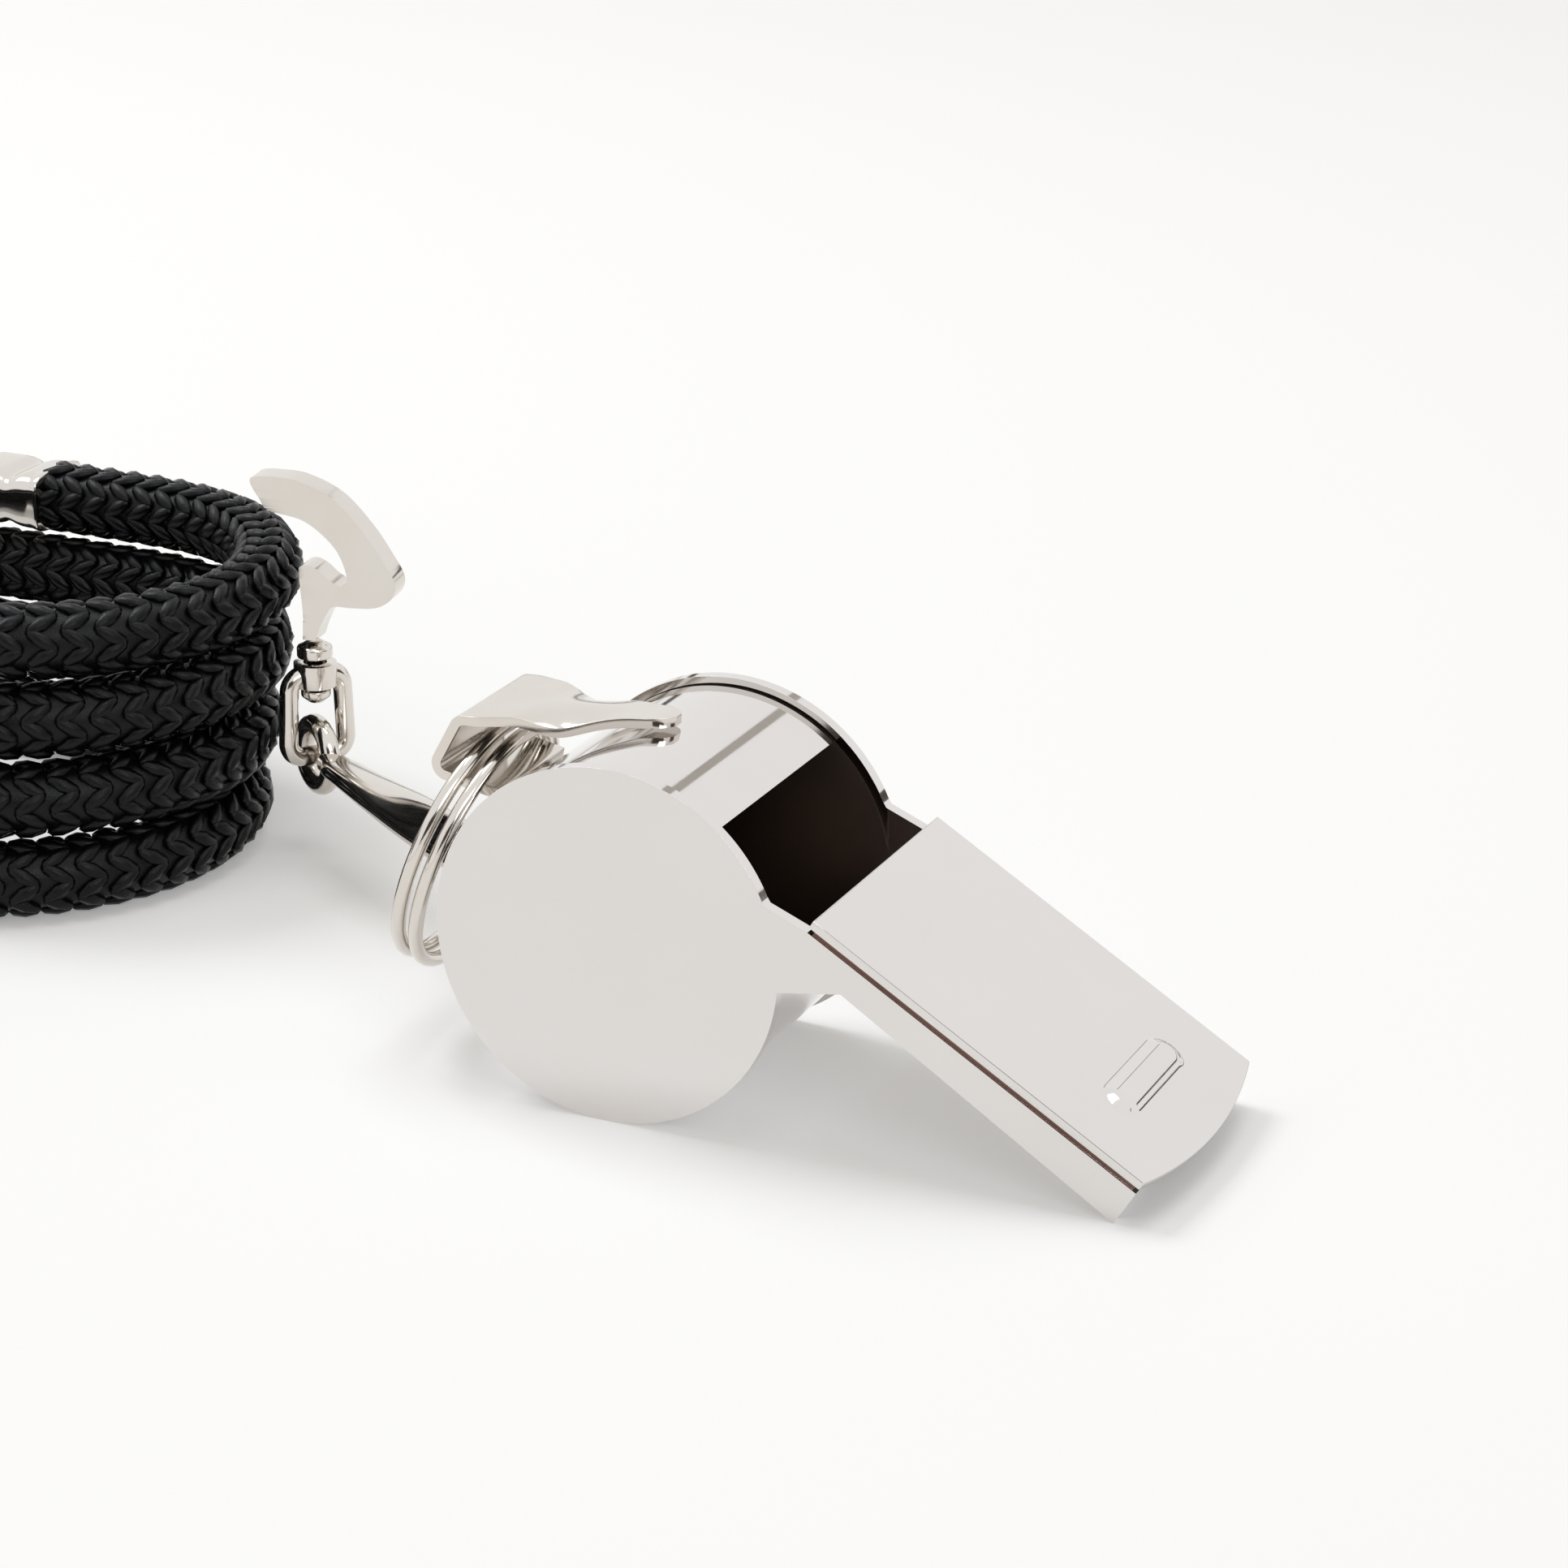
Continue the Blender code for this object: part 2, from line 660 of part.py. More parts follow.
def link_ends():
    """Middles of the link's two eyes and the directions of the wires that run through them."""
    at_ring, ring_way = ring_point(LINK_AT_RING)
    foot, out, along = hook_frame()
    at_eye = foot + Vector((0, 0, EYE_BAR_Z))
    run = at_eye - at_ring
    bar_way = Vector((-run.y, run.x, 0)).normalized()
    return at_ring, ring_way, at_eye, bar_way


def make_swivel_eye(parts, cutters, steel):
    at_ring, ring_way, at_eye, bar_way = link_ends()
    foot = Vector((at_eye.x, at_eye.y, 0))
    half, corner = EYE_HALF_WIDTH, EYE_CORNER
    corners = [
        (0, EYE_TOP_Z),
        (half - EYE_SHOULDER, EYE_TOP_Z),
        (half, EYE_BAR_Z),
        (-half, EYE_BAR_Z),
        (-half + EYE_SHOULDER, EYE_TOP_Z),
        (0, EYE_TOP_Z),
    ]
    line = rounded(corners, corner)[:-1]
    points = [foot + bar_way * a + Vector((0, 0, b)) for a, b in line]
    mesh = tube("swivel_eye", points, EYE_WIRE, 2, closed=True)
    eye = add("swivel_eye", mesh, parts, steel)
    low, high = EYE_TOP_Z - BOSS_HEIGHT / 2, EYE_TOP_Z + BOSS_HEIGHT / 2
    place = Matrix.Translation(foot * MM)
    boss_profile = [(0, high), (BOSS_RADIUS, high), (BOSS_RADIUS, low), (0, low)]
    boss = add("eye_boss", lathe("eye_boss", boss_profile, place), cutters)
    boolean(eye, boss, "UNION")
    hole_radius = PIN_RADIUS + GAP
    hole_profile = [(0, high + 1), (hole_radius, high + 1), (hole_radius, low - 1), (0, low - 1)]
    hole = add("eye_hole", lathe("eye_hole", hole_profile, place), cutters)
    boolean(eye, hole, "DIFFERENCE")
    smooth(mesh)


def torus(name, centre, axis, radius, wire, steps=20):
    one = axis.orthogonal().normalized()
    two = axis.cross(one).normalized()
    points = []
    for i in range(steps):
        a = math.tau * i / steps
        points.append(centre + (one * math.cos(a) + two * math.sin(a)) * radius)
    return tube(name, points, wire, 2, closed=True)


def make_link(parts, cutters, steel):
    at_ring, ring_way, at_eye, bar_way = link_ends()
    run = (at_eye - at_ring).normalized()
    flat_way = (ring_way + bar_way).normalized()
    flat_way = (flat_way - run * flat_way.dot(run)).normalized()
    side_way = flat_way.cross(run)
    start = LINK_EYE_RADIUS
    length = (at_eye - at_ring).length - 2 * start
    middle = (at_ring + at_eye) / 2
    half = LINK_WIDTH / 2
    bar = [
        (-length / 2, -half * 0.6),
        (-length / 2 + LINK_TAPER, -half),
        (length / 2 - LINK_TAPER, -half),
        (length / 2, -half * 0.6),
        (length / 2, half * 0.6),
        (length / 2 - LINK_TAPER, half),
        (-length / 2 + LINK_TAPER, half),
        (-length / 2, half * 0.6),
    ]
    place = frame_from(run, side_way, run.cross(side_way), middle)
    mesh = slab("twisted_link", [bar], LINK_THICKNESS, place)
    link = add("twisted_link", mesh, parts, steel)
    for name, centre, axis in (("link_eye_ring", at_ring, ring_way), ("link_eye_bar", at_eye, bar_way)):
        axis = (axis - run * axis.dot(run)).normalized()
        eye = add(name, torus(name, centre, axis, LINK_EYE_RADIUS, LINK_EYE_WIRE), cutters)
        boolean(link, eye, "UNION")
    smooth(mesh)


def centre_on_origin(parts, left_out):
    """Moves everything so that the whistle and its hardware stand centred over the origin."""
    bpy.context.view_layer.update()
    graph = bpy.context.evaluated_depsgraph_get()
    corners = []
    for item in parts.objects:
        if item.type == "MESH" and item.name not in left_out:
            mesh = item.evaluated_get(graph).to_mesh()
            corners += [item.matrix_world @ vert.co for vert in mesh.vertices]
    low = [min(corner[axis] for corner in corners) for axis in range(3)]
    high = [max(corner[axis] for corner in corners) for axis in range(3)]
    shift = Vector((-(low[0] + high[0]) / 2, -(low[1] + high[1]) / 2, -low[2]))
    for item in bpy.data.objects:
        if item.parent is None:
            item.location += shift
    bpy.context.view_layer.update()
    return shift / MM


def main():
    clear_scene()
    parts = new_collection("pea_whistle")
    cutters = new_collection("cutters", hidden=True)
    nickel = material("bright_nickel", (0.80, 0.78, 0.75), 0.12, 1.0)
    steel = material("hardware_steel", (0.74, 0.72, 0.69), 0.2, 1.0)
    cork = material("cork_pea", (0.42, 0.28, 0.17), 0.85, 0.0)
    black_cord = material("black_braid", (0.012, 0.012, 0.013), 0.8, 0.0)

    whistle = bpy.data.objects.new("whistle_stand", None)
    parts.objects.link(whistle)
    whistle.location = (0, 0, BARREL_RADIUS * MM)
    whistle.rotation_euler = (0, TILT, 0)

    make_side_plates(parts, nickel, whistle)
    make_barrel_band(parts, nickel, whistle)
    make_mouthpiece_floor(parts, nickel, whistle)
    make_mouthpiece_top(parts, cutters, nickel, whistle)
    make_lug(parts, cutters, nickel, whistle)
    make_pea(parts, cork, whistle)
    make_split_ring(parts, steel)
    make_link(parts, cutters, steel)
    make_swivel_eye(parts, cutters, steel)
    make_swivel_pin(parts, steel)
    make_hook(parts, cutters, steel)
    make_lanyard(parts, black_cord, steel)
    shift = centre_on_origin(parts, {"lanyard_cord", "crimp_sleeve"})

    top, hang, centre = ring_frame()
    at_ring, ring_way, at_eye, bar_way = link_ends()
    print("barrel axis at", (Vector((0, 0, BARREL_RADIUS)) + shift).to_tuple(3), "tilt", math.degrees(TILT))
    print("ring hinge at", (top + shift).to_tuple(3))
    print("link hinge at", (at_ring + shift).to_tuple(3), "along", ring_way.to_tuple(4))
    print("eye hinge at", (at_eye + shift).to_tuple(3), "along", bar_way.to_tuple(4))
    print("shift", shift.to_tuple(3))


main()
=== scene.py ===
# %% [markdown]
# # A pea whistle with its lanyard, dressed for a photograph
# The whistle and its hardware come in as a plain model from a mechanical drawing. This script keeps that
# model as its frame and gives every piece the form, the finish and the light of a real one.

import math

import bmesh
import bpy
from mathutils import Matrix, Vector


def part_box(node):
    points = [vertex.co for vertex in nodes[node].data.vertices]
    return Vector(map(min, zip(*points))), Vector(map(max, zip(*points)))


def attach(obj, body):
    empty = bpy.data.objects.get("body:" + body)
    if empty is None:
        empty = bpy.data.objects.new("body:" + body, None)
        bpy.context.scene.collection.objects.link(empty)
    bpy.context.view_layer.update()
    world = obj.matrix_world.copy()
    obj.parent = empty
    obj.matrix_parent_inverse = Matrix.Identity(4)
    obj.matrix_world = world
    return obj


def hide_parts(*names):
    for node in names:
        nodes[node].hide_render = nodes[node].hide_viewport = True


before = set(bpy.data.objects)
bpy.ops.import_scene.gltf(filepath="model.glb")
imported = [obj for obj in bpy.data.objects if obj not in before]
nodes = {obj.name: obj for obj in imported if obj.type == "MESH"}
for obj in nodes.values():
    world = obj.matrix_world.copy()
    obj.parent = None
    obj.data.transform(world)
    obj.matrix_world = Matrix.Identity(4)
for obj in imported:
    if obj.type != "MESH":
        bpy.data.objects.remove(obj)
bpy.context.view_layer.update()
scene = bpy.context.scene
scene.view_settings.view_transform = "Standard"
MM = 0.001
print("pieces in the plain model:", len(nodes))

# %% [markdown]
# ## The whistle's own axes
# A whistle is drawn lying level, with its mouthpiece along +X and its barrel's axis along Y. On the floor it
# tips forward until the barrel and the lip both touch down. The tilt follows from two sizes, the barrel's
# radius and the reach of the lip, so it is worked out and not typed in.

# %% Sizes of the whistle in millimetres
BARREL_RADIUS = 11.0
BODY_WIDTH = 18.4
PLATE_THICKNESS = 0.8
BAND_THICKNESS = 0.5
RIM_STAND = 0.5
GAP = 0.3
WINDOW_REAR_ANGLE = 81.0
WINDOW_FRONT_X = 9.25
MOUTH_TOP_Z = 10.2
LIP_X = 32.9
LIP_BULGE = 1.2
LIP_HEIGHT = 3.3
THROAT_X = 12.9
THROAT_HEIGHT = 2.7
NECK_ANGLE = 26.6
NOTCH_ANGLE = 55.6
TOP_THICKNESS = 0.55
FLOOR_THICKNESS = 0.5
BAND_RADIUS = BARREL_RADIUS - RIM_STAND
INNER_WIDTH = BODY_WIDTH - 2 * PLATE_THICKNESS - 2 * GAP
SIDE_TOP_Z = MOUTH_TOP_Z - TOP_THICKNESS - GAP
LIP_BOTTOM_Z = MOUTH_TOP_Z - LIP_HEIGHT
THROAT_Z = MOUTH_TOP_Z - THROAT_HEIGHT
REACH = math.hypot(LIP_X, LIP_BOTTOM_Z)
TILT = math.atan2(LIP_BOTTOM_Z, LIP_X) + math.asin(BARREL_RADIUS / REACH)

# %% Where the barrel stands
right_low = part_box("side_plate_right")[0]
left_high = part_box("side_plate_left")[1]
BARREL_AXIS = Vector(
    (right_low.x + BARREL_RADIUS * MM, (right_low.y + left_high.y) / 2, right_low.z + BARREL_RADIUS * MM)
)
FLOOR_POINT = BARREL_AXIS - Vector((0, 0, BARREL_RADIUS * MM))
WHISTLE = Matrix.Translation(BARREL_AXIS) @ Matrix.Rotation(TILT, 4, "Y")
PLACE = Matrix.Translation(FLOOR_POINT)
print("barrel axis", [round(v / MM, 2) for v in BARREL_AXIS], "tilt", round(math.degrees(TILT), 2))

# %% [markdown]
# ## The camera
# The photograph looks down at about twenty degrees from the front right, through a long lens. The camera is
# set from a direction, a distance and a small roll, and its three axes are written into one matrix.

# %% Place the camera
SENSOR_WIDTH = 36
FOCAL_PIXELS = 5393
PHOTO_PIXELS = 1932


def place_camera(azimuth, elevation, roll, target, distance, lens):
    az, el, tip = (math.radians(v) for v in (azimuth, elevation, roll))
    look = Vector((math.sin(az) * math.cos(el), math.cos(az) * math.cos(el), -math.sin(el)))
    right = look.cross(Vector((0, 0, 1))).normalized()
    up = right.cross(look)
    right, up = right * math.cos(tip) + up * math.sin(tip), up * math.cos(tip) - right * math.sin(tip)
    data = bpy.data.cameras.new("camera")
    data.lens = lens
    data.sensor_width = SENSOR_WIDTH
    data.clip_start = 0.01
    camera = bpy.data.objects.new("camera", data)
    scene.collection.objects.link(camera)
    turn = Matrix((right, up, -look)).transposed().to_4x4()
    camera.matrix_world = Matrix.Translation(FLOOR_POINT + (target - look * distance) * MM) @ turn
    return camera


scene.camera = place_camera(
    azimuth=-24.1,
    elevation=20.5,
    roll=0.6,
    target=Vector((-8.3, 34.6, 5.0)),
    distance=296,
    lens=SENSOR_WIDTH * FOCAL_PIXELS / PHOTO_PIXELS,
)
print("camera at", [round(v, 3) for v in scene.camera.location])

# %% [markdown]
# ## Small tools for meshes
# Most metal parts here are a flat outline with a thickness, or a round wire along a line. Curve objects
# make both: a filled 2D curve with an extrusion, and a 3D curve with a bevel. Each is turned into a plain
# mesh at once, because a mesh can be welded, bevelled and given its place.

# %% Meshes from outlines and lines
def weld(mesh, distance=1e-7):
    shape = bmesh.new()
    shape.from_mesh(mesh)
    bmesh.ops.remove_doubles(shape, verts=shape.verts, dist=distance)
    bmesh.ops.recalc_face_normals(shape, faces=shape.faces)
    shape.to_mesh(mesh)
    shape.free()
    return mesh


def as_mesh(shape, name):
    mesh = bpy.data.meshes.new(name)
    shape.to_mesh(mesh)
    shape.free()
    return mesh


def evaluated_mesh(item, name):
    graph = bpy.context.evaluated_depsgraph_get()
    mesh = bpy.data.meshes.new_from_object(item.evaluated_get(graph))
    mesh.name = name
    return mesh


def from_curve(curve, name):
    guide = bpy.data.objects.new(name + "_guide", curve)
    scene.collection.objects.link(guide)
    mesh = evaluated_mesh(guide, name)
    bpy.data.objects.remove(guide, do_unlink=True)
    return weld(mesh)


def slab(name, outline, thickness, turn):
    curve = bpy.data.curves.new(name + "_outline", "CURVE")
    curve.dimensions = "2D"
    curve.fill_mode = "BOTH"
    curve.extrude = thickness / 2 * MM
    spline = curve.splines.new("POLY")
    spline.points.add(len(outline) - 1)
    for point, (a, b) in zip(spline.points, outline):
        point.co = (a * MM, b * MM, 0, 1)
    spline.use_cyclic_u = True
    mesh = from_curve(curve, name)
    mesh.transform(turn)
    return mesh


def wire_curve(name, points, diameter, resolution, closed=False):
    curve = bpy.data.curves.new(name + "_path", "CURVE")
    curve.dimensions = "3D"
    curve.bevel_depth = diameter / 2 * MM
    curve.bevel_resolution = resolution
    curve.use_fill_caps = not closed
    spline = curve.splines.new("POLY")
    spline.points.add(len(points) - 1)
    for point, place in zip(spline.points, points):
        point.co = (*(Vector(place) * MM), 1)
    spline.use_cyclic_u = closed
    return curve


def tube(name, points, diameter, resolution, closed=False):
    return from_curve(wire_curve(name, points, diameter, resolution, closed), name)


# %% [markdown]
# ## Small tools for outlines
# Pressed sheet has arcs, rounded folds and an even thickness. A few helpers draw those in two dimensions, and
# each outline below is made from them, so a corner's radius stays a single number. The last two say how a
# flat drawing is turned into its place.

# %% Arcs, folds and strips
def polar(radius, degrees):
    return radius * math.cos(math.radians(degrees)), radius * math.sin(math.radians(degrees))


def arc(radius, start, end, steps):
    return [polar(radius, start + (end - start) * i / steps) for i in range(steps + 1)]


def rounded(corners, radius, steps=10):
    line = [corners[0]]
    for before, corner, after in zip(corners, corners[1:], corners[2:]):
        corner = Vector(corner)
        one = (Vector(before) - corner).normalized()
        two = (Vector(after) - corner).normalized()
        half = math.acos(max(-1.0, min(1.0, one.dot(two)))) / 2
        middle = corner + (one + two).normalized() * radius / math.sin(half)
        first = corner + one * radius / math.tan(half) - middle
        last = corner + two * radius / math.tan(half) - middle
        sweep = first.angle_signed(last)
        for i in range(steps + 1):
            spun = first.copy()
            spun.rotate(Matrix.Rotation(-sweep * i / steps, 2))
            line.append(tuple(middle + spun))
    line.append(corners[-1])
    return line


def way_at(line, i):
    """The direction of a line at its point i, taken from its neighbours."""
    return (Vector(line[min(i + 1, len(line) - 1)]) - Vector(line[max(i - 1, 0)])).normalized()


def strip(line, thickness):
    left, right = [], []
    for i, point in enumerate(line):
        along = way_at(line, i)
        across = Vector((-along.y, along.x)) * thickness / 2
        left.append(tuple(Vector(point) + across))
        right.append(tuple(Vector(point) - across))
    return left + right[::-1]


def side_view(offset=0.0):
    return Matrix.Translation((0, offset * MM, 0)) @ Matrix.Rotation(math.radians(90), 4, "X")


def frame_from(x_axis, y_axis, z_axis, place):
    return Matrix.Translation(Vector(place) * MM) @ Matrix((x_axis, y_axis, z_axis)).transposed().to_4x4()


# %% [markdown]
# ## Finishing a piece
# A finished piece is one plain mesh with its place in its points. Bevels and joins are made with modifiers,
# and the result is taken as a new mesh, so nothing is left to work out later. Sheet edges are rounded off
# because a sharp edge never catches a highlight. A large flat face keeps its own normals where the smoothing
# angle is less than one step of its bevel, or it would reflect as if it bulged.

# %% Finish, join and hand over a piece
def helper(name, mesh):
    item = bpy.data.objects.new(name, mesh)
    scene.collection.objects.link(item)
    return item


def finished(name, mesh, place, width=0.0, segments=3, angle=35.0, sharp=0.0, joins=(), cuts=()):
    """Joins, bevels edges past an angle, and smooths all but the edges past the sharp angle."""
    item = helper(name + "_raw", mesh)
    tools = []
    for operation, others in (("UNION", joins), ("DIFFERENCE", cuts)):
        for other in others:
            tools.append(helper(name + "_tool", other))
            step = item.modifiers.new("join", "BOOLEAN")
            step.operation = operation
            step.object = tools[-1]
    if width:
        step = item.modifiers.new("soft_edges", "BEVEL")
        step.width = width * MM
        step.segments = segments
        step.limit_method = "ANGLE"
        step.angle_limit = math.radians(angle)
    result = evaluated_mesh(item, name)
    for tool in [item, *tools]:
        bpy.data.objects.remove(tool, do_unlink=True)
    result.transform(place)
    result.shade_smooth()
    result.set_sharp_from_angle(angle=math.radians(sharp or angle))
    return helper(name, result)


def dress(piece, finish, body, slot, *replaced):
    piece.data.materials.clear()
    piece.data.materials.append(finish)
    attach(piece, body)
    if replaced:
        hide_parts(*replaced)
    print(piece.name, "has", len(piece.data.polygons), "faces and rides on", body)


# %% [markdown]
# ## Writing shaders as sums
# A material is a graph of nodes, but its maths reads better as an expression. One small class holds a node's
# output, and its operators add Math nodes, so that a mask is written as 1 - a * b.

# %% A socket that can be added and multiplied
class Value:
    def __init__(self, tree, socket):
        self.tree, self.socket = tree, socket

    def maths(self, operation, *others, clamp=False):
        node = self.tree.nodes.new("ShaderNodeMath")
        node.operation = operation
        node.use_clamp = clamp
        for slot, other in zip(node.inputs, (self, *others)):
            if isinstance(other, Value):
                self.tree.links.new(other.socket, slot)
            else:
                slot.default_value = other
        return Value(self.tree, node.outputs[0])

    def __add__(self, other):
        return self.maths("ADD", other)

    def __sub__(self, other):
        return self.maths("SUBTRACT", other)

    def __mul__(self, other):
        return self.maths("MULTIPLY", other)

    def __truediv__(self, other):
        return self.maths("DIVIDE", other)

    def __pow__(self, other):
        return self.maths("POWER", other)

    def __rsub__(self, other):
        return self.maths("MULTIPLY", -1.0) + other

    __radd__ = __add__
    __rmul__ = __mul__

    def clamp(self):
        return self.maths("ADD", 0.0, clamp=True)


# %% A tree that takes any shader node, and a material that has one
class Graph:
    """A tree of shader nodes, with one method that adds any node."""

    def __init__(self, tree):
        self.tree = tree

    def node(self, kind, settings=None, output=0, **inputs):
        """An input is given by its name, or by i and its number where a name isn't enough."""
        node = self.tree.nodes.new(kind)
        for key, value in (settings or {}).items():
            if key == "stops":
                ramp = node.color_ramp
                while len(ramp.elements) < len(value):
                    ramp.elements.new(0.5)
                for element, (place, colour) in zip(ramp.elements, value):
                    element.position = place
                    element.color = (*colour, 1.0)
            else:
                setattr(node, key, value)
        for key, value in inputs.items():
            slot = node.inputs[int(key[1:])] if key[0] == "i" and key[1:].isdigit() else node.inputs[key]
            if isinstance(value, Value):
                self.tree.links.new(value.socket, slot)
            else:
                slot.default_value = value
        return Value(self.tree, node.outputs[output])

    def place(self):
        return self.node("ShaderNodeTexCoord", output=3)

    def noise(self, scale, detail=3.0, roughness=0.5, vector=None):
        vector = vector or self.place()
        return self.node("ShaderNodeTexNoise", Vector=vector, Scale=scale, Detail=detail, Roughness=roughness)

    def mix(self, share, first, second):
        """The first colour where the share is 0, and the second where it is 1."""
        settings = {"data_type": "RGBA"}
        return self.node("ShaderNodeMix", settings, 2, Factor=share, i6=(*first, 1.0), i7=(*second, 1.0))


class Finish(Graph):
    """A material whose shader is a Principled BSDF."""

    def __init__(self, name, **settings):
        self.material = bpy.data.materials.new(name)
        self.material.use_nodes = True
        super().__init__(self.material.node_tree)
        self.shader = self.tree.nodes["Principled BSDF"]
        for key, value in settings.items():
            self.shader.inputs[key.replace("_", " ")].default_value = value

    def drive(self, name, value):
        self.tree.links.new(value.socket, self.shader.inputs[name])

    def bump(self, strength, depth, height):
        self.drive("Normal", self.node("ShaderNodeBump", Strength=strength, Distance=depth, Height=height))


# %% [markdown]
# ## Bright nickel
# The plate is polished until it is nearly a mirror, so the finish is mostly what it reflects. What makes it
# real is how little it varies: faint clouds of handling haze in the roughness, hairline polishing marks in
# the bump, and a touch of warmth where the plate is thin. Roughness stays low, or the metal turns to paint.

# %% The nickel finish
def make_nickel(name, colour, warm, roughness, polish=0.02):
    finish = Finish(name, Metallic=1.0)
    low, high = roughness
    haze = finish.noise(90.0, 4.0, 0.6)
    cloud = finish.noise(260.0, 2.0)
    mask = ((haze * 0.7 + cloud * 0.3 - 0.35) * 2.2).clamp()
    finish.drive("Base Color", finish.mix(mask * 0.5, colour, warm))
    finish.drive("Roughness", mask * (high - low) + low)
    stretched = finish.node("ShaderNodeMapping", Vector=finish.place(), Scale=(0.08, 1.0, 1.0))
    hairs = finish.noise(5200.0, 2.0, 0.6, stretched)
    finish.bump(polish, 0.02 * MM, hairs)
    return finish.material


nickel = make_nickel("bright_nickel", (0.74, 0.715, 0.70), (0.70, 0.67, 0.64), (0.04, 0.11))
hardware = make_nickel("warm_nickel", (0.72, 0.685, 0.64), (0.62, 0.56, 0.49), (0.08, 0.2), 0.04)
# Partly painted shade: this dark brown stands for the shade inside the barrel and the mouthpiece, with a
# tarnished tone.
inside_tarnish_and_shade = make_nickel("dull_inside", (0.20, 0.155, 0.13), (0.10, 0.075, 0.062), (0.35, 0.55), 0.1)
# Partly painted shade: the seam's dark brown stands for the shade in its groove, with a tarnished tone.
seam_brown = make_nickel("seam_brown", (0.20, 0.115, 0.095), (0.13, 0.07, 0.055), (0.4, 0.6), 0.1)
print("metals:", nickel.name, hardware.name, inside_tarnish_and_shade.name, seam_brown.name)


def line_inside(piece, faces_in, lining=inside_tarnish_and_shade):
    """Gives another finish to the faces that a test picks."""
    piece.data.materials.append(lining)
    count = 0
    for face in piece.data.polygons:
        if faces_in(face.center, face.normal):
            face.material_index = len(piece.data.materials) - 1
            count += 1
    print(piece.name, "has", count, "faces in", lining.name)


# %% [markdown]
# ## The wall inside the rim
# A side plate's inner face is coloured dark brown where it closes the barrel and along the mouthpiece, as
# painted shade with a tarnished tone on a rougher finish, but its rim stands clear of the barrel and is
# polished on both sides. Both are one face, so the colour and the roughness change with the distance from the
# barrel's axis.

# %% The inner wall's finish
RIM_FADE = 0.1
MOUTH_INSET = 0.8
MOUTH_FADE = 0.2


def make_inner_wall():
    finish = Finish("inner_wall", Metallic=1.0)
    x = finish.node("ShaderNodeSeparateXYZ", Vector=finish.place()) - BARREL_AXIS.x
    z = finish.node("ShaderNodeSeparateXYZ", output=2, Vector=finish.place()) - BARREL_AXIS.z
    rim = (((x * x + z * z) ** 0.5 - (BAND_RADIUS - RIM_FADE) * MM) / (RIM_FADE * MM)).clamp()
    mouth = ((x - (BARREL_RADIUS - MOUTH_INSET) * MM) / (MOUTH_FADE * MM)).clamp()
    polished_unshaded = rim * (1 - mouth)
    # Painted shade: the colour is dark brown inside the barrel and along the mouthpiece, and light only on
    # the rim.
    finish.drive("Base Color", finish.mix(polished_unshaded, (0.17, 0.13, 0.11), (0.72, 0.69, 0.66)))
    finish.drive("Roughness", 0.45 - polished_unshaded * 0.37)
    return finish.material


inner_wall = make_inner_wall()
print("inner wall:", inner_wall.name)

# %% [markdown]
# ## The side plates
# Each side is one pressed plate: a round disc that runs out into the flank of the mouthpiece, with a notch
# where the window begins. Its rim stands a little proud of the barrel. A fine arc and a five-step bevel let
# the edge carry a highlight without a facet. Along the mouthpiece a seam lies a little deeper than the
# plate's face, coloured dark brown: a tarnished tone with painted shade in the groove.

# %% Make the side plates
def side_outline():
    notch = polar(BARREL_RADIUS, NOTCH_ANGLE)
    outline = arc(BARREL_RADIUS, NOTCH_ANGLE, 360 + NECK_ANGLE, 180)
    outline += [(THROAT_X, THROAT_Z), (LIP_X, LIP_BOTTOM_Z), (LIP_X, SIDE_TOP_Z)]
    outline += [(WINDOW_FRONT_X, SIDE_TOP_Z), (notch[0] + GAP, notch[1] - GAP / 2)]
    return outline


EDGE_ROUND = 0.2
SEAM_DEPTH = 0.16
SEAM_ROOT = 0.3
SEAM_FROM_WINDOW = 0.4
SEAM_FROM_LIP = 0.3
SEAM_CLEARANCE = 0.02
seam_start, seam_end = WINDOW_FRONT_X + SEAM_FROM_WINDOW, LIP_X - SEAM_FROM_LIP
seam_low, seam_high = SIDE_TOP_Z - SEAM_ROOT, SIDE_TOP_Z + GAP - SEAM_CLEARANCE
seam_outline = [(seam_start, seam_low), (seam_end, seam_low), (seam_end, seam_high), (seam_start, seam_high)]
WHISTLE_BACK = WHISTLE.inverted()


def in_seam(centre, normal):
    place = WHISTLE_BACK @ centre
    return place.x > WINDOW_FRONT_X * MM and place.z > (SIDE_TOP_Z + SEAM_CLEARANCE) * MM


for node_name, side in (("side_plate_right", -1), ("side_plate_left", 1)):
    middle = side * (BODY_WIDTH - PLATE_THICKNESS) / 2
    mesh = slab(node_name, side_outline(), PLATE_THICKNESS, side_view(middle))
    seam = slab("seam", seam_outline, PLATE_THICKNESS - 2 * SEAM_DEPTH, side_view(middle))
    piece_name = node_name.replace("plate", "cheek")
    plate = finished(piece_name, mesh, WHISTLE, EDGE_ROUND, segments=5, sharp=5, joins=[seam])
    dress(plate, nickel, "whistle", "nickel", node_name)
    # The inner faces get the painted shade of the barrel, and the seam its dark brown of painted shade and
    # tarnish.
    line_inside(plate, lambda centre, normal: normal.y * side < -0.9, inner_wall)
    line_inside(plate, in_seam, seam_brown)

# %% [markdown]
# ## The barrel band and the mouthpiece floor
# The barrel is a strip bent round between the discs, open at the window. The floor of the mouthpiece is a
# second strip that starts at the band and runs out to the lip. Both are one line with a thickness.

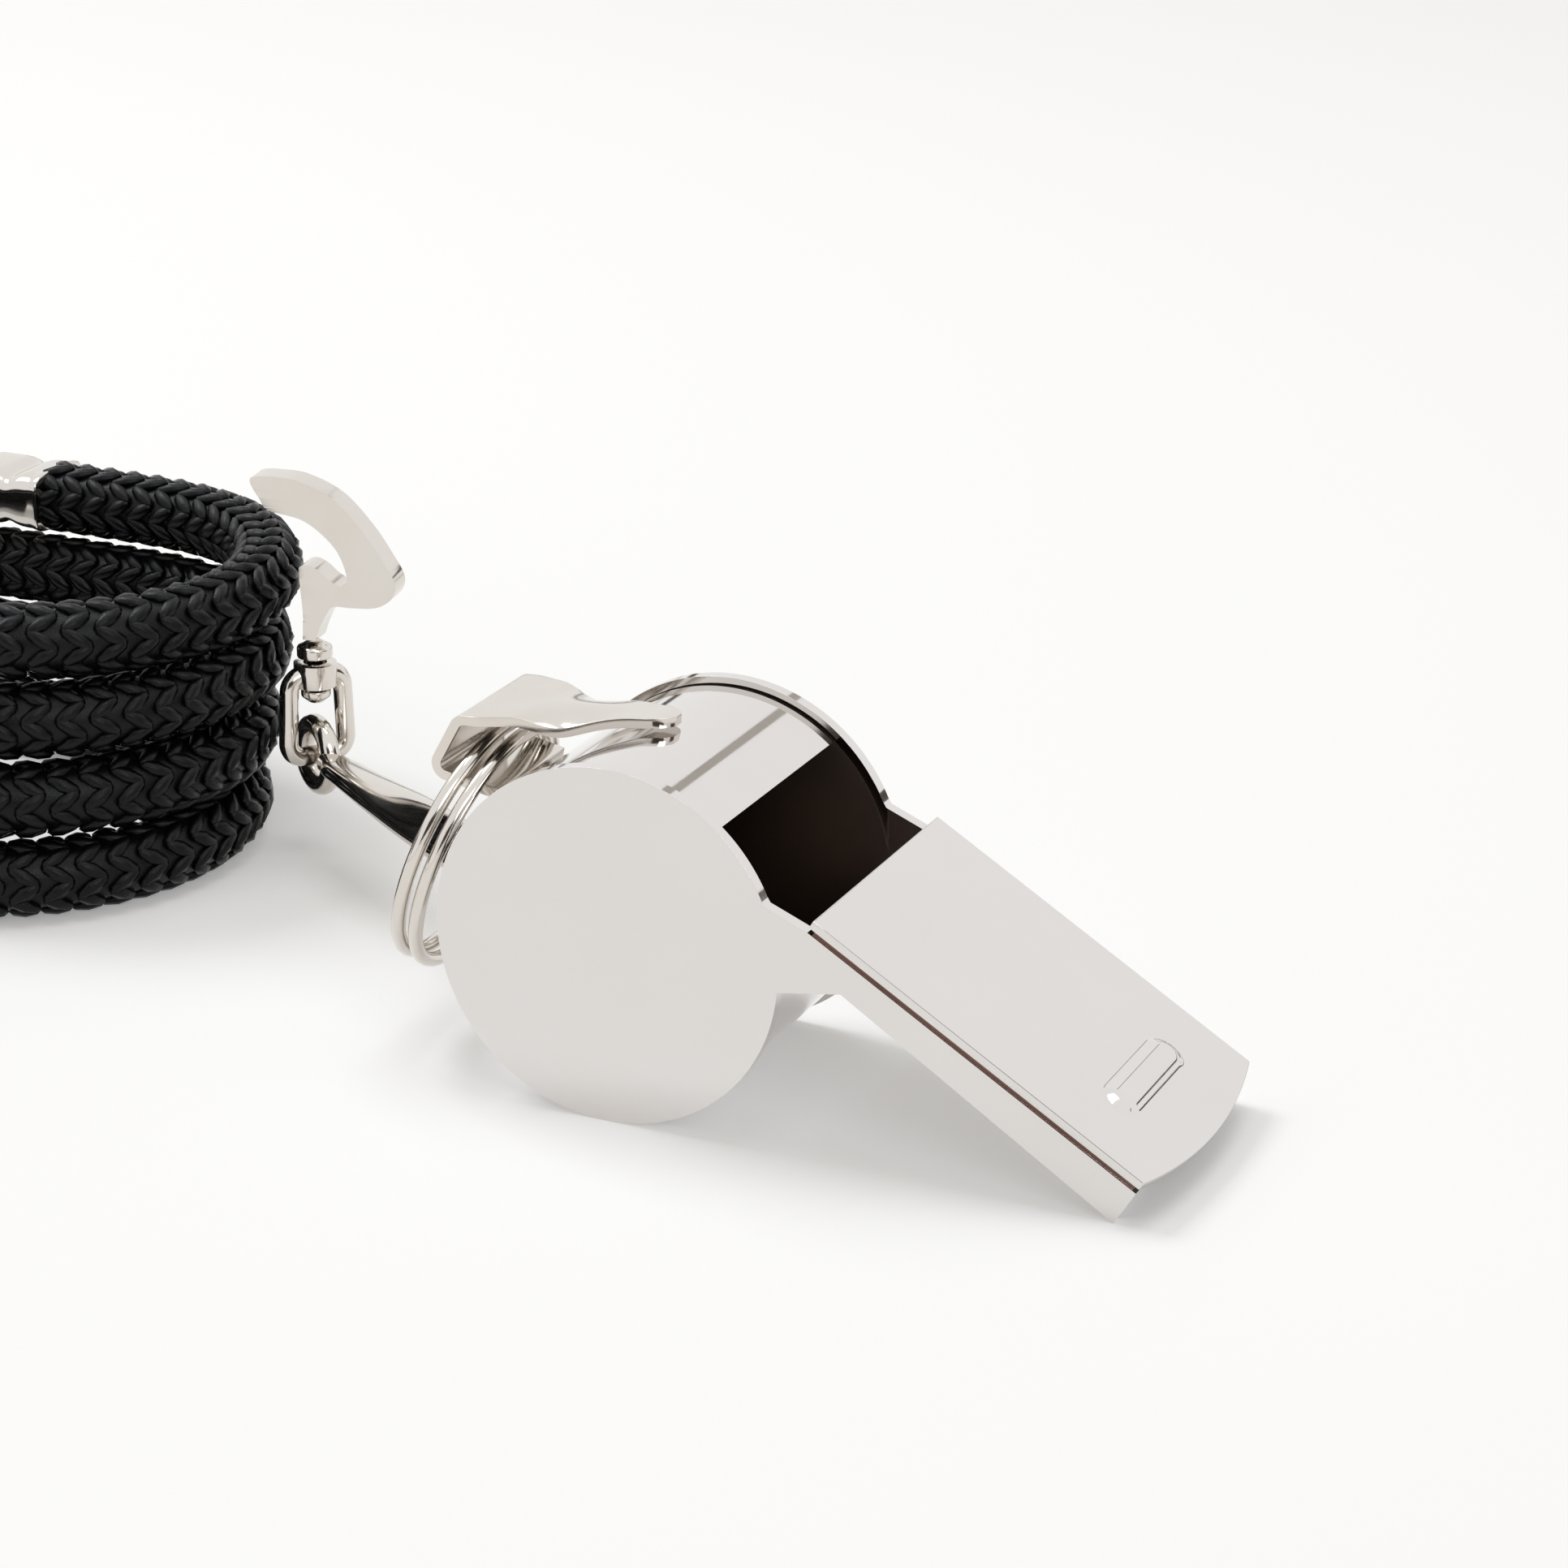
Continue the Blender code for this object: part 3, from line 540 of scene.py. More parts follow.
# %% Make the band and the floor
SHEET_EDGE = 0.06
BAND_STOPS_SHORT = 3
FLOOR_FROM_NECK = 1
FLOOR_LIFT = 0.1
FLOOR_FROM_LIP = 0.4
FLOOR_BEND = 1.0
band_end = 360 + NECK_ANGLE - BAND_STOPS_SHORT
band_line = arc(BAND_RADIUS - BAND_THICKNESS / 2, WINDOW_REAR_ANGLE, band_end, 200)
band_mesh = slab("band", strip(band_line, BAND_THICKNESS), INNER_WIDTH, side_view())
band = finished("barrel_sheet", band_mesh, WHISTLE, SHEET_EDGE, segments=2, sharp=10)
dress(band, nickel, "whistle", "nickel", "barrel_band")


def faces_axis(centre, normal):
    away = Vector((centre.x - BARREL_AXIS.x, 0, centre.z - BARREL_AXIS.z))
    return normal.dot(away.normalized()) < -0.7


# The band's inner face gets the dark brown that is partly painted shade of the closed barrel.
line_inside(band, faces_axis)

floor_z = FLOOR_THICKNESS / 2 + FLOOR_LIFT
floor_line = rounded(
    [
        polar(BAND_RADIUS + GAP, NECK_ANGLE + FLOOR_FROM_NECK),
        (THROAT_X, THROAT_Z + floor_z),
        (LIP_X - FLOOR_FROM_LIP, LIP_BOTTOM_Z + floor_z),
    ],
    FLOOR_BEND,
)
floor_mesh = slab("floor", strip(floor_line, FLOOR_THICKNESS), INNER_WIDTH, side_view())
mouth_floor = finished("mouth_floor_sheet", floor_mesh, WHISTLE, SHEET_EDGE, segments=2, sharp=10)
dress(mouth_floor, nickel, "whistle", "nickel", "mouthpiece_floor")

# %% [markdown]
# ## The mouthpiece top and its pressed grip
# The top plate has a curved lip and, near it, a long pill pressed up from below for the teeth to hold. A
# pressed form has soft shoulders, so the plate is a fine grid of points whose height follows a smooth step
# around the pill, and not a block set on top. The rows lie closer towards the lip, where the grip is, and the
# underside is a second, flat grid.

# %% Make the top plate
GRIP_LENGTH = 9.6
GRIP_WIDTH = 2.6
GRIP_HEIGHT = 0.42
GRIP_SHOULDER = 1.1
GRIP_SKIRT = 0.2
GRIP_FROM_LIP = 4.0
TOP_EDGE = 0.07
ROW_EASE = 0.6


def smooth_step(value):
    value = max(0.0, min(1.0, value))
    return value * value * (3 - 2 * value)


def between(step, span):
    return smooth_step((step - span[0]) / (span[1] - span[0]))


def lip_x(y):
    half = BODY_WIDTH / 2
    radius = (half**2 + LIP_BULGE**2) / (2 * LIP_BULGE)
    return LIP_X + LIP_BULGE - radius + math.sqrt(radius**2 - y**2)


def grip_rise(x, y):
    run = (GRIP_LENGTH - GRIP_WIDTH) / 2
    away = math.hypot(x - (LIP_X - GRIP_FROM_LIP), max(abs(y) - run, 0.0))
    return GRIP_HEIGHT * smooth_step((GRIP_WIDTH / 2 + GRIP_SKIRT - away) / GRIP_SHOULDER)


def shell(name, upper, lower):
    """A closed plate between two grids of points that have as many rows and columns."""
    shape = bmesh.new()
    high = [[shape.verts.new(Vector(point) * MM) for point in row] for row in upper]
    low = [[shape.verts.new(Vector(point) * MM) for point in row] for row in lower]
    for rows in (high, low):
        for one, two in zip(rows, rows[1:]):
            for corners in zip(one, one[1:], two[1:], two):
                shape.faces.new(corners)
    borders = [(high[0], low[0]), (high[-1], low[-1])]
    borders += [([row[k] for row in high], [row[k] for row in low]) for k in (0, -1)]
    for one, two in borders:
        for corners in zip(one, one[1:], two[1:], two):
            shape.faces.new(corners)
    bmesh.ops.recalc_face_normals(shape, faces=shape.faces)
    return as_mesh(shape, name)


def top_plate(across=110, along=220):
    grids = []
    for level in (0, 1):
        grid = []
        for i in range(along + 1):
            share = (i / along) ** ROW_EASE
            row = []
            for j in range(across + 1):
                y = (j / across - 0.5) * BODY_WIDTH
                x = WINDOW_FRONT_X + (lip_x(y) - WINDOW_FRONT_X) * share
                row.append((x, y, MOUTH_TOP_Z - TOP_THICKNESS if level else MOUTH_TOP_Z + grip_rise(x, y)))
            grid.append(row)
        grids.append(grid)
    return shell("top_plate", *grids)


top = finished("mouth_top_sheet", top_plate(), WHISTLE, TOP_EDGE, segments=2)
dress(top, nickel, "whistle", "nickel", "mouthpiece_top")
plate_up = WHISTLE.to_3x3() @ Vector((0, 0, 1))
# The underside gets the dark brown that is partly painted shade inside the mouthpiece.
line_inside(top, lambda centre, normal: normal.dot(plate_up) < -0.9)

# %% [markdown]
# ## The lug
# The loop that takes the ring is a strip of the same sheet, narrow and round where it is fixed to the barrel
# and wide where it folds, and the press curls its sides down. It is drawn as rows of points along its bent
# side view, so the width and the curl can change from row to row.

# %% Make the lug
LUG_THICKNESS = 0.6
LUG_START_ANGLE = 119.0
LUG_CURL = 1.7
LUG_CURL_IN = (0.2, 0.5)
LUG_CURL_OUT = (0.5, 0.74)
LUG_LEAVE_ANGLE = 128.0
LUG_FRONT_HALF = 1.1
LUG_REAR_HALF = 4.2
LUG_WIDE_AT = 1.12
LUG_TAPER = 1.25
LUG_TIP_ROUND = 0.9
LUG_REACH = 5.3
LUG_REAR_LIFT = 1.0
LUG_SEAT_DEPTH = 2.3
LUG_SEAT_DROP = 0.6
LUG_FOOT_DROP = 3.9
LUG_FOOT_SET = 0.2
LUG_HOME_GAP = 0.1
LUG_HOME_RISE = 1.6
LUG_BEND = 0.7
LUG_ROW = 0.3
LUG_EDGE = 0.14
LUG_MIDDLE = BAND_RADIUS + GAP + LUG_THICKNESS / 2


def lug_corners():
    rear_x = -(BAND_RADIUS + LUG_REACH)
    leave = polar(LUG_MIDDLE, LUG_LEAVE_ANGLE)
    slope = (-math.sin(math.radians(LUG_LEAVE_ANGLE)), math.cos(math.radians(LUG_LEAVE_ANGLE)))
    rear = (rear_x, leave[1] + slope[1] * (rear_x - leave[0]) / slope[0] + LUG_REAR_LIFT)
    foot = (rear_x + LUG_FOOT_SET, rear[1] - LUG_FOOT_DROP)
    home = (-(LUG_MIDDLE + LUG_HOME_GAP), foot[1] + LUG_HOME_RISE)
    return leave, rear, foot, home


leave, rear, foot, home = lug_corners()
lug_side = arc(LUG_MIDDLE, LUG_START_ANGLE, LUG_LEAVE_ANGLE, 12)[:-1]
lug_side += rounded([leave, rear, foot, home], LUG_BEND)
lug_line = []
for a, b in zip(lug_side, lug_side[1:]):
    parts = max(1, round(math.dist(a, b) / LUG_ROW))
    lug_line += [tuple(Vector(a).lerp(b, i / parts)) for i in range(parts)]
lug_line.append(lug_side[-1])


def lug_grids(across=24):
    """Rows along the strip, whose width grows to the fold and whose sides curl down towards the barrel."""
    steps = [0.0]
    for a, b in zip(lug_line, lug_line[1:]):
        steps.append(steps[-1] + math.dist(a, b))
    fold_at = steps[min(range(len(lug_line)), key=lambda i: math.dist(lug_line[i], rear))]
    upper, lower = [], []
    for i, (point, run) in enumerate(zip(lug_line, steps)):
        along = way_at(lug_line, i)
        out = Vector((along.y, -along.x))
        share = run / fold_at
        widening = min(share * LUG_WIDE_AT, 1.0) ** LUG_TAPER
        half = LUG_FRONT_HALF + (LUG_REAR_HALF - LUG_FRONT_HALF) * widening
        if run < LUG_FRONT_HALF:
            half *= math.sqrt(1 - (1 - run / LUG_FRONT_HALF) ** 2 * LUG_TIP_ROUND)
        curl = LUG_CURL * between(share, LUG_CURL_IN) * (1 - between(share, LUG_CURL_OUT))
        rows = ([], [])
        for j in range(across + 1):
            y = (j / across * 2 - 1) * half
            drop = curl * (y / LUG_REAR_HALF) ** 2
            for row, lift in zip(rows, (LUG_THICKNESS / 2, -LUG_THICKNESS / 2)):
                place = Vector(point) + out * (lift - drop)
                row.append((place.x, y, place.y))
        upper.append(rows[0])
        lower.append(rows[1])
    return upper, lower


lug = finished("lug_strip", shell("lug", *lug_grids()), WHISTLE, LUG_EDGE, angle=40)
dress(lug, hardware, "whistle", "nickel", "lanyard_lug")

# %% [markdown]
# ## The pea
# The ball inside is cork, so it has pits and a grain of darker flecks. It shows only through the window, but
# it rolls there when the joint turns. A fine ball is dented a little by three crossing waves, and the finish
# adds the pits.

# %% Make the pea
def make_cork():
    finish = Finish("cork", Roughness=0.9)
    grain = finish.noise(700.0, 5.0, 0.65)
    flecks = finish.node("ShaderNodeTexVoronoi", Vector=finish.place(), Scale=900.0)
    spots = (1 - (flecks * 2.6).clamp()) ** 2.0
    colour = finish.node(
        "ShaderNodeValToRGB",
        {"stops": [(0.3, (0.20, 0.14, 0.10)), (0.52, (0.50, 0.40, 0.31)), (0.75, (0.68, 0.57, 0.46))]},
        Fac=grain - spots * 0.35,
    )
    finish.drive("Base Color", colour)
    finish.bump(0.6, 0.2 * MM, grain - spots * 0.6)
    return finish.material


PEA_RADIUS = 6.2
PEA_DENT = 0.012
pea_low, pea_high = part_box("pea")
pea_shape = bmesh.new()
bmesh.ops.create_icosphere(pea_shape, subdivisions=5, radius=PEA_RADIUS * MM)
for vert in pea_shape.verts:
    way = vert.co.normalized()
    lump = math.sin(way.x * 9 + 1.3) * math.sin(way.y * 11 + 0.4) * math.sin(way.z * 10 + 2.1)
    vert.co *= 1 - PEA_DENT * abs(lump)
pea_mesh = as_mesh(pea_shape, "cork_ball")
pea = finished("cork_ball", pea_mesh, Matrix.Translation((pea_low + pea_high) / 2), angle=180)
dress(pea, make_cork(), "pea", "cork", "pea")

# %% [markdown]
# ## The split ring
# A key ring of this kind is nearly two turns of wire lying side by side, so a loop can be worked round onto
# it. The line is a circle that shifts sideways by one pitch over the middle of its run.

# %% Make the split ring
RING_INSET = 1.3
RING_RADIUS = BODY_WIDTH / 2 - RING_INSET
RING_WIRE = 0.9
RING_PITCH = 1.22
RING_TURNS = 1.96
RING_START_ANGLE = 100
RING_SHIFT = 0.45
RING_HANG_ANGLE = 19.1
LINK_AT_RING = 50.0


def whistle_to_floor(x, z):
    return (
        x * math.cos(TILT) + z * math.sin(TILT),
        -x * math.sin(TILT) + z * math.cos(TILT) + BARREL_RADIUS,
    )


seat = whistle_to_floor(rear[0] + LUG_SEAT_DEPTH, rear[1] - LUG_SEAT_DROP)
hang = Vector((-math.sin(math.radians(RING_HANG_ANGLE)), 0, -math.cos(math.radians(RING_HANG_ANGLE))))
ring_centre = Vector((seat[0], 0, seat[1])) + hang * RING_RADIUS
ring_normal = hang.cross(Vector((0, 1, 0)))


def on_ring(angle):
    return ring_centre + (hang * math.cos(angle) + Vector((0, math.sin(angle), 0))) * RING_RADIUS


def ring_line(steps=240):
    points = []
    for i in range(steps + 1):
        turn = RING_TURNS * i / steps
        rise = max(-0.5, min(0.5, (turn - RING_TURNS / 2) / RING_SHIFT)) * RING_PITCH
        points.append(on_ring(math.radians(360 * turn + RING_START_ANGLE)) + ring_normal * rise)
    return points


ring = finished("key_ring", tube("ring", ring_line(), RING_WIRE, 5), PLACE, angle=50)
dress(ring, hardware, "ring", "hardware", "split_ring")

# %% [markdown]
# ## The lanyard's line
# The cord's centre line comes first, because everything on it takes its place from the line. It leaves the
# crimp, drops down outside the bundle in its first turn, and then goes round a long oval and up one level a
# turn, until it comes back to the crimp. The oval is counted in 24 steps: the back run, the left bend, the
# front run, the right bend and a last stretch home. Each lower level lies a little nearer the viewer. The
# yarn stands out a little beyond the plain cord, so the line is lifted off the floor and eased off the hook.

# %% Sizes of the lanyard
CORD_DIAMETER = 4.6
CORD_SPACING = 5.1
COIL_RADIUS = 15.2
COIL_LAYERS = 4
COIL_CENTRE = (-56.1, 19.0)
COIL_STRAIGHT = 40.0
LEVEL_LEAN = Vector((-0.25, -1.25, 0))
LEAD_STAND = 5.3
LEAD_OUT = (1.2, 5.0)
LEAD_DOWN = (4.0, 12.0)
LEAD_IN = (11.0, 15.5)
CLIMB = (4.0, 12.0)
CRIMP_FROM_CENTRE = 13.6
CRIMP_LENGTH = 10.0
CRIMP_WIDTH = 6.4
CRIMP_HEIGHT = 4.4
LOOP_STEPS = 24
PARTS_OF_STEP = 4
FIRST_STEP = 2
STUB_PARTS = 3
BACK_END, LEFT_END, FRONT_END, RIGHT_END = 3, 11, 15, 23
YARN_LOFT = 0.28
COIL_EASE = 0.35
FLOOR_LEVEL_Z = CORD_DIAMETER / 2 + YARN_LOFT
TOP_LEVEL_Z = FLOOR_LEVEL_Z + CORD_SPACING * (COIL_LAYERS - 1)


# %% Draw the lanyard's line
def oval_place(step, stand, z):
    x, y = COIL_CENTRE[0] - COIL_EASE, COIL_CENTRE[1]
    degrees = 90.0
    if step < BACK_END:
        x -= CRIMP_FROM_CENTRE + (COIL_STRAIGHT - CRIMP_FROM_CENTRE) * step / BACK_END
    elif step < LEFT_END:
        x -= COIL_STRAIGHT
        degrees += 180.0 * (step - BACK_END) / (LEFT_END - BACK_END)
    elif step < FRONT_END:
        x -= COIL_STRAIGHT * (FRONT_END - step) / (FRONT_END - LEFT_END)
        degrees += 180.0
    elif step < RIGHT_END:
        degrees += 180.0 + 180.0 * (step - FRONT_END) / (RIGHT_END - FRONT_END)
    else:
        x -= CRIMP_FROM_CENTRE * (step - RIGHT_END)
    a, b = polar(COIL_RADIUS + stand, degrees)
    return Vector((x + a, y + b, z)) + LEVEL_LEAN * ((TOP_LEVEL_Z - z) / CORD_SPACING)


def coil_point(step):
    turn, place = divmod(step, LOOP_STEPS)
    if turn:
        return oval_place(place, 0.0, FLOOR_LEVEL_Z + CORD_SPACING * (turn - 1 + between(place, CLIMB)))
    stand = LEAD_STAND * (between(place, LEAD_OUT) - between(place, LEAD_IN))
    return oval_place(place, stand, TOP_LEVEL_Z + (FLOOR_LEVEL_Z - TOP_LEVEL_Z) * between(place, LEAD_DOWN))


def crimp_frame():
    return oval_place(0, 0.0, TOP_LEVEL_Z), Vector((-1, 0, 0)), Vector((0, 1, 0))


def lanyard_line():
    centre, along, _ = crimp_frame()
    reach = CRIMP_LENGTH / 2 + GAP
    stub = [along * (reach + CORD_DIAMETER * i / STUB_PARTS) for i in range(STUB_PARTS + 1)]
    parts = (COIL_LAYERS * LOOP_STEPS - 1 - FIRST_STEP) * PARTS_OF_STEP
    turns = [coil_point(FIRST_STEP + i / PARTS_OF_STEP) for i in range(parts + 1)]
    return [centre + way for way in stub] + turns + [centre - way for way in reversed(stub)]


def relaxed(line, passes=4):
    """The line with its small corners eased, and its ends kept."""
    for _ in range(passes):
        line = [line[0]] + [(a + b * 2 + c) / 4 for a, b, c in zip(line, line[1:], line[2:])] + [line[-1]]
    return line


cord_line = relaxed(lanyard_line())
cord_length = sum((b - a).length for a, b in zip(cord_line, cord_line[1:]))
print("lanyard line", len(cord_line), "points,", round(cord_length), "mm")

# %% [markdown]
# ## The braid
# A braided cord shows columns of small slanting stitches in pairs, like rows of the letter V. Each stitch
# could be painted with a bump, but up close the pairs cast shadows on one another, so they are modelled. A
# Geometry Nodes tree walks the line, sets twelve stitches round it at every row, leans each second one the
# other way, and joins them to a plain core.

# %% A short way to write a node tree
class Tree:
    """A geometry tree with named inputs, and one method that adds a node and fills its sockets."""

    def __init__(self, name, inputs):
        self.tree = bpy.data.node_groups.new(name, "GeometryNodeTree")
        for way in ("INPUT", "OUTPUT"):
            self.tree.interface.new_socket("Geometry", in_out=way, socket_type="NodeSocketGeometry")
        self.inputs = {}
        for key, kind in inputs.items():
            socket = self.tree.interface.new_socket(key, in_out="INPUT", socket_type="NodeSocket" + kind)
            self.inputs[key] = socket.identifier
        self.group_in = self.tree.nodes.new("NodeGroupInput")
        self.group_out = self.tree.nodes.new("NodeGroupOutput")

    def given(self, name):
        return self.group_in.outputs[name]

    def link(self, source, slot):
        """Links a socket, or the first output of a node."""
        source = source.outputs[0] if isinstance(source, bpy.types.Node) else source
        self.tree.links.new(source, slot)

    def add(self, kind, links=None, **settings):
        node = self.tree.nodes.new(kind)
        for key, value in settings.items():
            setattr(node, key, value)
        for key, value in (links or {}).items():
            if isinstance(value, (bpy.types.Node, bpy.types.NodeSocket)):
                self.link(value, node.inputs[key])
            else:
                node.inputs[key].default_value = value
        return node


# %% Build the braid tree
BRAID_INPUTS = {
    "Core radius": "Float",
    "Stitch radius": "Float",
    "Rows": "Int",
    "Stitches round": "Int",
    "Stitch size": "Vector",
    "Lean": "Float",
    "Material": "Material",
}


def braid_rows(braid):
    """Rows along the line, each of which keeps its place and its direction for later."""
    line = {"Curve": braid.given("Geometry"), "Count": braid.given("Rows")}
    rows = braid.add("GeometryNodeResampleCurve", line)
    kept = braid.add("GeometryNodeCaptureAttribute", {"Geometry": rows}, domain="POINT")
    kept.capture_items.new("VECTOR", "Way")
    kept.capture_items.new("VECTOR", "Middle")
    braid.link(braid.add("GeometryNodeInputTangent"), kept.inputs["Way"])
    braid.link(braid.add("GeometryNodeInputPosition"), kept.inputs["Middle"])
    return rows, kept


def braid_turn(braid, kept):
    """Stands each stitch away from the line, and leans each second one the other way."""
    here = braid.add("GeometryNodeInputPosition")
    out = braid.add("ShaderNodeVectorMath", {0: here, 1: kept.outputs["Middle"]}, operation="SUBTRACT")
    ways = {0: out, 1: kept.outputs["Way"]}
    stand = braid.add("FunctionNodeAxesToRotation", ways, primary_axis="Z", secondary_axis="X")
    index = Value(braid.tree, braid.add("GeometryNodeInputIndex").outputs[0])
    side = index.maths("MODULO", 2.0) * 2.0 - 1.0
    angle = side * Value(braid.tree, braid.given("Lean"))
    lean = braid.add("FunctionNodeAxisAngleToRotation", {"Axis": (0, 0, 1), "Angle": angle.socket})
    return braid.add("FunctionNodeRotateRotation", {0: stand, 1: lean}, rotation_space="LOCAL")


def tube_round(braid, line, radius, sides, **caps):
    circle = {"Resolution": sides, "Radius": braid.given(radius)}
    ring = braid.add("GeometryNodeCurvePrimitiveCircle", circle, mode="RADIUS")
    return braid.add("GeometryNodeCurveToMesh", {"Curve": line, "Profile Curve": ring, **caps})


def braid_tree():
    braid = Tree("braid", BRAID_INPUTS)
    rows, kept = braid_rows(braid)
    skin = tube_round(braid, kept, "Stitch radius", braid.given("Stitches round"))
    ball = braid.add("GeometryNodeMeshUVSphere", {"Segments": 6, "Rings": 4, "Radius": 1.0})
    lying = braid.add("GeometryNodeTransform", {"Geometry": ball, "Rotation": (0, math.pi / 2, 0)})
    stitch = braid.add("GeometryNodeTransform", {"Geometry": lying, "Scale": braid.given("Stitch size")})
    places = {"Points": skin, "Instance": stitch, "Rotation": braid_turn(braid, kept)}
    spread = braid.add("GeometryNodeInstanceOnPoints", places)
    real = braid.add("GeometryNodeRealizeInstances", {"Geometry": spread})
    core = tube_round(braid, rows, "Core radius", 12, **{"Fill Caps": True})
    both = braid.add("GeometryNodeJoinGeometry")
    braid.link(real, both.inputs[0])
    braid.link(core, both.inputs[0])
    smooth = braid.add("GeometryNodeSetShadeSmooth", {"Geometry": both})
    dyed = braid.add("GeometryNodeSetMaterial", {"Geometry": smooth, "Material": braid.given("Material")})
    braid.link(dyed, braid.group_out.inputs[0])
    return braid


# %% [markdown]
# ## Black yarn
# The yarn is black but not dead: it is a bundle of shiny fibres, so each stitch shows a soft grey streak
# along its length. The streak comes from a middling roughness and a low specular level, because a white
# studio would turn a stronger gloss to grey, and the colour wanders slightly as dye does.

# %% The yarn's finish
def make_yarn():
    finish = Finish("black_yarn", Specular_IOR_Level=0.2)
    patch = finish.noise(420.0, 3.0)
    fibres = finish.noise(9000.0, 2.0, 0.7)
    colour = finish.node(
        "ShaderNodeValToRGB",
        {"stops": [(0.3, (0.0008, 0.0008, 0.0010)), (0.7, (0.0036, 0.0036, 0.0044))]},
        Fac=patch * 0.6 + fibres * 0.4,
    )
    finish.drive("Base Color", colour)
    finish.drive("Roughness", patch * 0.2 + 0.2)
    finish.bump(0.35, 0.08 * MM, fibres)
    return finish.material


yarn = make_yarn()
print("yarn:", yarn.name)

# %% Run the braid along the lanyard
CORE_RADIUS = 2.12
STITCH_RADIUS = 2.13
STITCH_PITCH = 1.95
STITCH_SIZE = (1.28, 0.56, 0.45)
STITCH_LEAN = 33
cord_curve = wire_curve("lanyard", cord_line, 0.0, 0)
cord_curve.use_fill_caps = False
cord_guide = bpy.data.objects.new("lanyard_guide", cord_curve)
scene.collection.objects.link(cord_guide)
braid = braid_tree()
step = cord_guide.modifiers.new("braid", "NODES")
step.node_group = braid.tree
braid_sizes = {
    "Core radius": CORE_RADIUS * MM,
    "Stitch radius": STITCH_RADIUS * MM,
    "Rows": round(cord_length / STITCH_PITCH),
    "Stitches round": 12,
    "Stitch size": tuple(size * MM for size in STITCH_SIZE),
    "Lean": math.radians(STITCH_LEAN),
    "Material": yarn,
}
for key, value in braid_sizes.items():
    step[braid.inputs[key]] = value
cord_guide.update_tag()
bpy.context.view_layer.update()
cord_mesh = evaluated_mesh(cord_guide, "braided_lanyard")
bpy.data.objects.remove(cord_guide, do_unlink=True)
cord_mesh.transform(PLACE)
cord_piece = helper("braided_lanyard", cord_mesh)
dress(cord_piece, yarn, "hook", "cord", "lanyard_cord")

# %% [markdown]
# ## The crimp
# The two ends of the cord meet in a short flat sleeve of sheet metal, squeezed shut. The squeeze leaves two
# dents across it, and its mouths flare a little so that they don't cut the yarn.

# %% Make the crimp
DENT_FROM_MIDDLE = 2.3
DENT_WIDTH = 0.7
DENT_DEPTH = 0.35
CRIMP_TUCK = 0.15
CRIMP_FLARE = 0.12
CRIMP_MOUTH = 1.0
CRIMP_SQUARENESS = 0.45
SMALL_EDGE = 0.15
crimp_centre, crimp_along, crimp_out = crimp_frame()
crimp_place = frame_from(crimp_along, -crimp_out, Vector((0, 0, 1)), crimp_centre)


def loft(name, rings):
    """A closed mesh through rings of points, with a cap at each end."""
    shape = bmesh.new()
    made = [[shape.verts.new(Vector(point) * MM) for point in ring] for ring in rings]
    for one, two in zip(made, made[1:]):
        for corners in zip(one, one[1:] + one[:1], two[1:] + two[:1], two):
            shape.faces.new(corners)
    shape.faces.new(made[0])
    shape.faces.new(made[-1][::-1])
    bmesh.ops.recalc_face_normals(shape, faces=shape.faces)
    return as_mesh(shape, name)


def flat_ring(x, half_width, half_height, turn, power, sides=48):
    """A ring of points round the X axis, between an ellipse and a rounded rectangle."""
    ring = []
    for j in range(sides):
        c, s = polar(1.0, 360.0 * j / sides)
        y = math.copysign(abs(c) ** power, c) * half_width
        z = math.copysign(abs(s) ** power, s) * half_height
        ring.append((x, y * math.cos(turn) - z * math.sin(turn), y * math.sin(turn) + z * math.cos(turn)))
    return ring


def crimp_mesh(steps=60):
    rings = []
    for i in range(steps + 1):
        x = (i / steps - 0.5) * CRIMP_LENGTH
        places = (-DENT_FROM_MIDDLE, DENT_FROM_MIDDLE)
        dent = DENT_DEPTH * sum(math.exp(-(((x - at) / DENT_WIDTH) ** 2)) for at in places)
        flare = CRIMP_FLARE * smooth_step((abs(x) - CRIMP_LENGTH / 2) / CRIMP_MOUTH + 1.0) - CRIMP_TUCK
        half_height = CRIMP_HEIGHT / 2 - dent + flare
        rings.append(flat_ring(x, CRIMP_WIDTH / 2 + flare, half_height, 0.0, CRIMP_SQUARENESS))
    return loft("crimp", rings)


crimp = finished("crimped_sleeve", crimp_mesh(), PLACE @ crimp_place, SMALL_EDGE, angle=50)
dress(crimp, hardware, "hook", "hardware", "crimp_sleeve")
tuple(PLACE @ (cord_line[0] * MM))
[tuple(PLACE @ (point * MM)) for point in cord_line]

# %% [markdown]
# ## The hook, the pin and the eye
# The hook is stamped from flat bar, with a broad back that narrows to its nose and a small spur inside. A
# smooth line through a few points draws its outline, and a wide bevel takes off the edges, as tumbling in a
# drum does. Below it a turned pin lets the hook swivel in the boss of a wire eye.

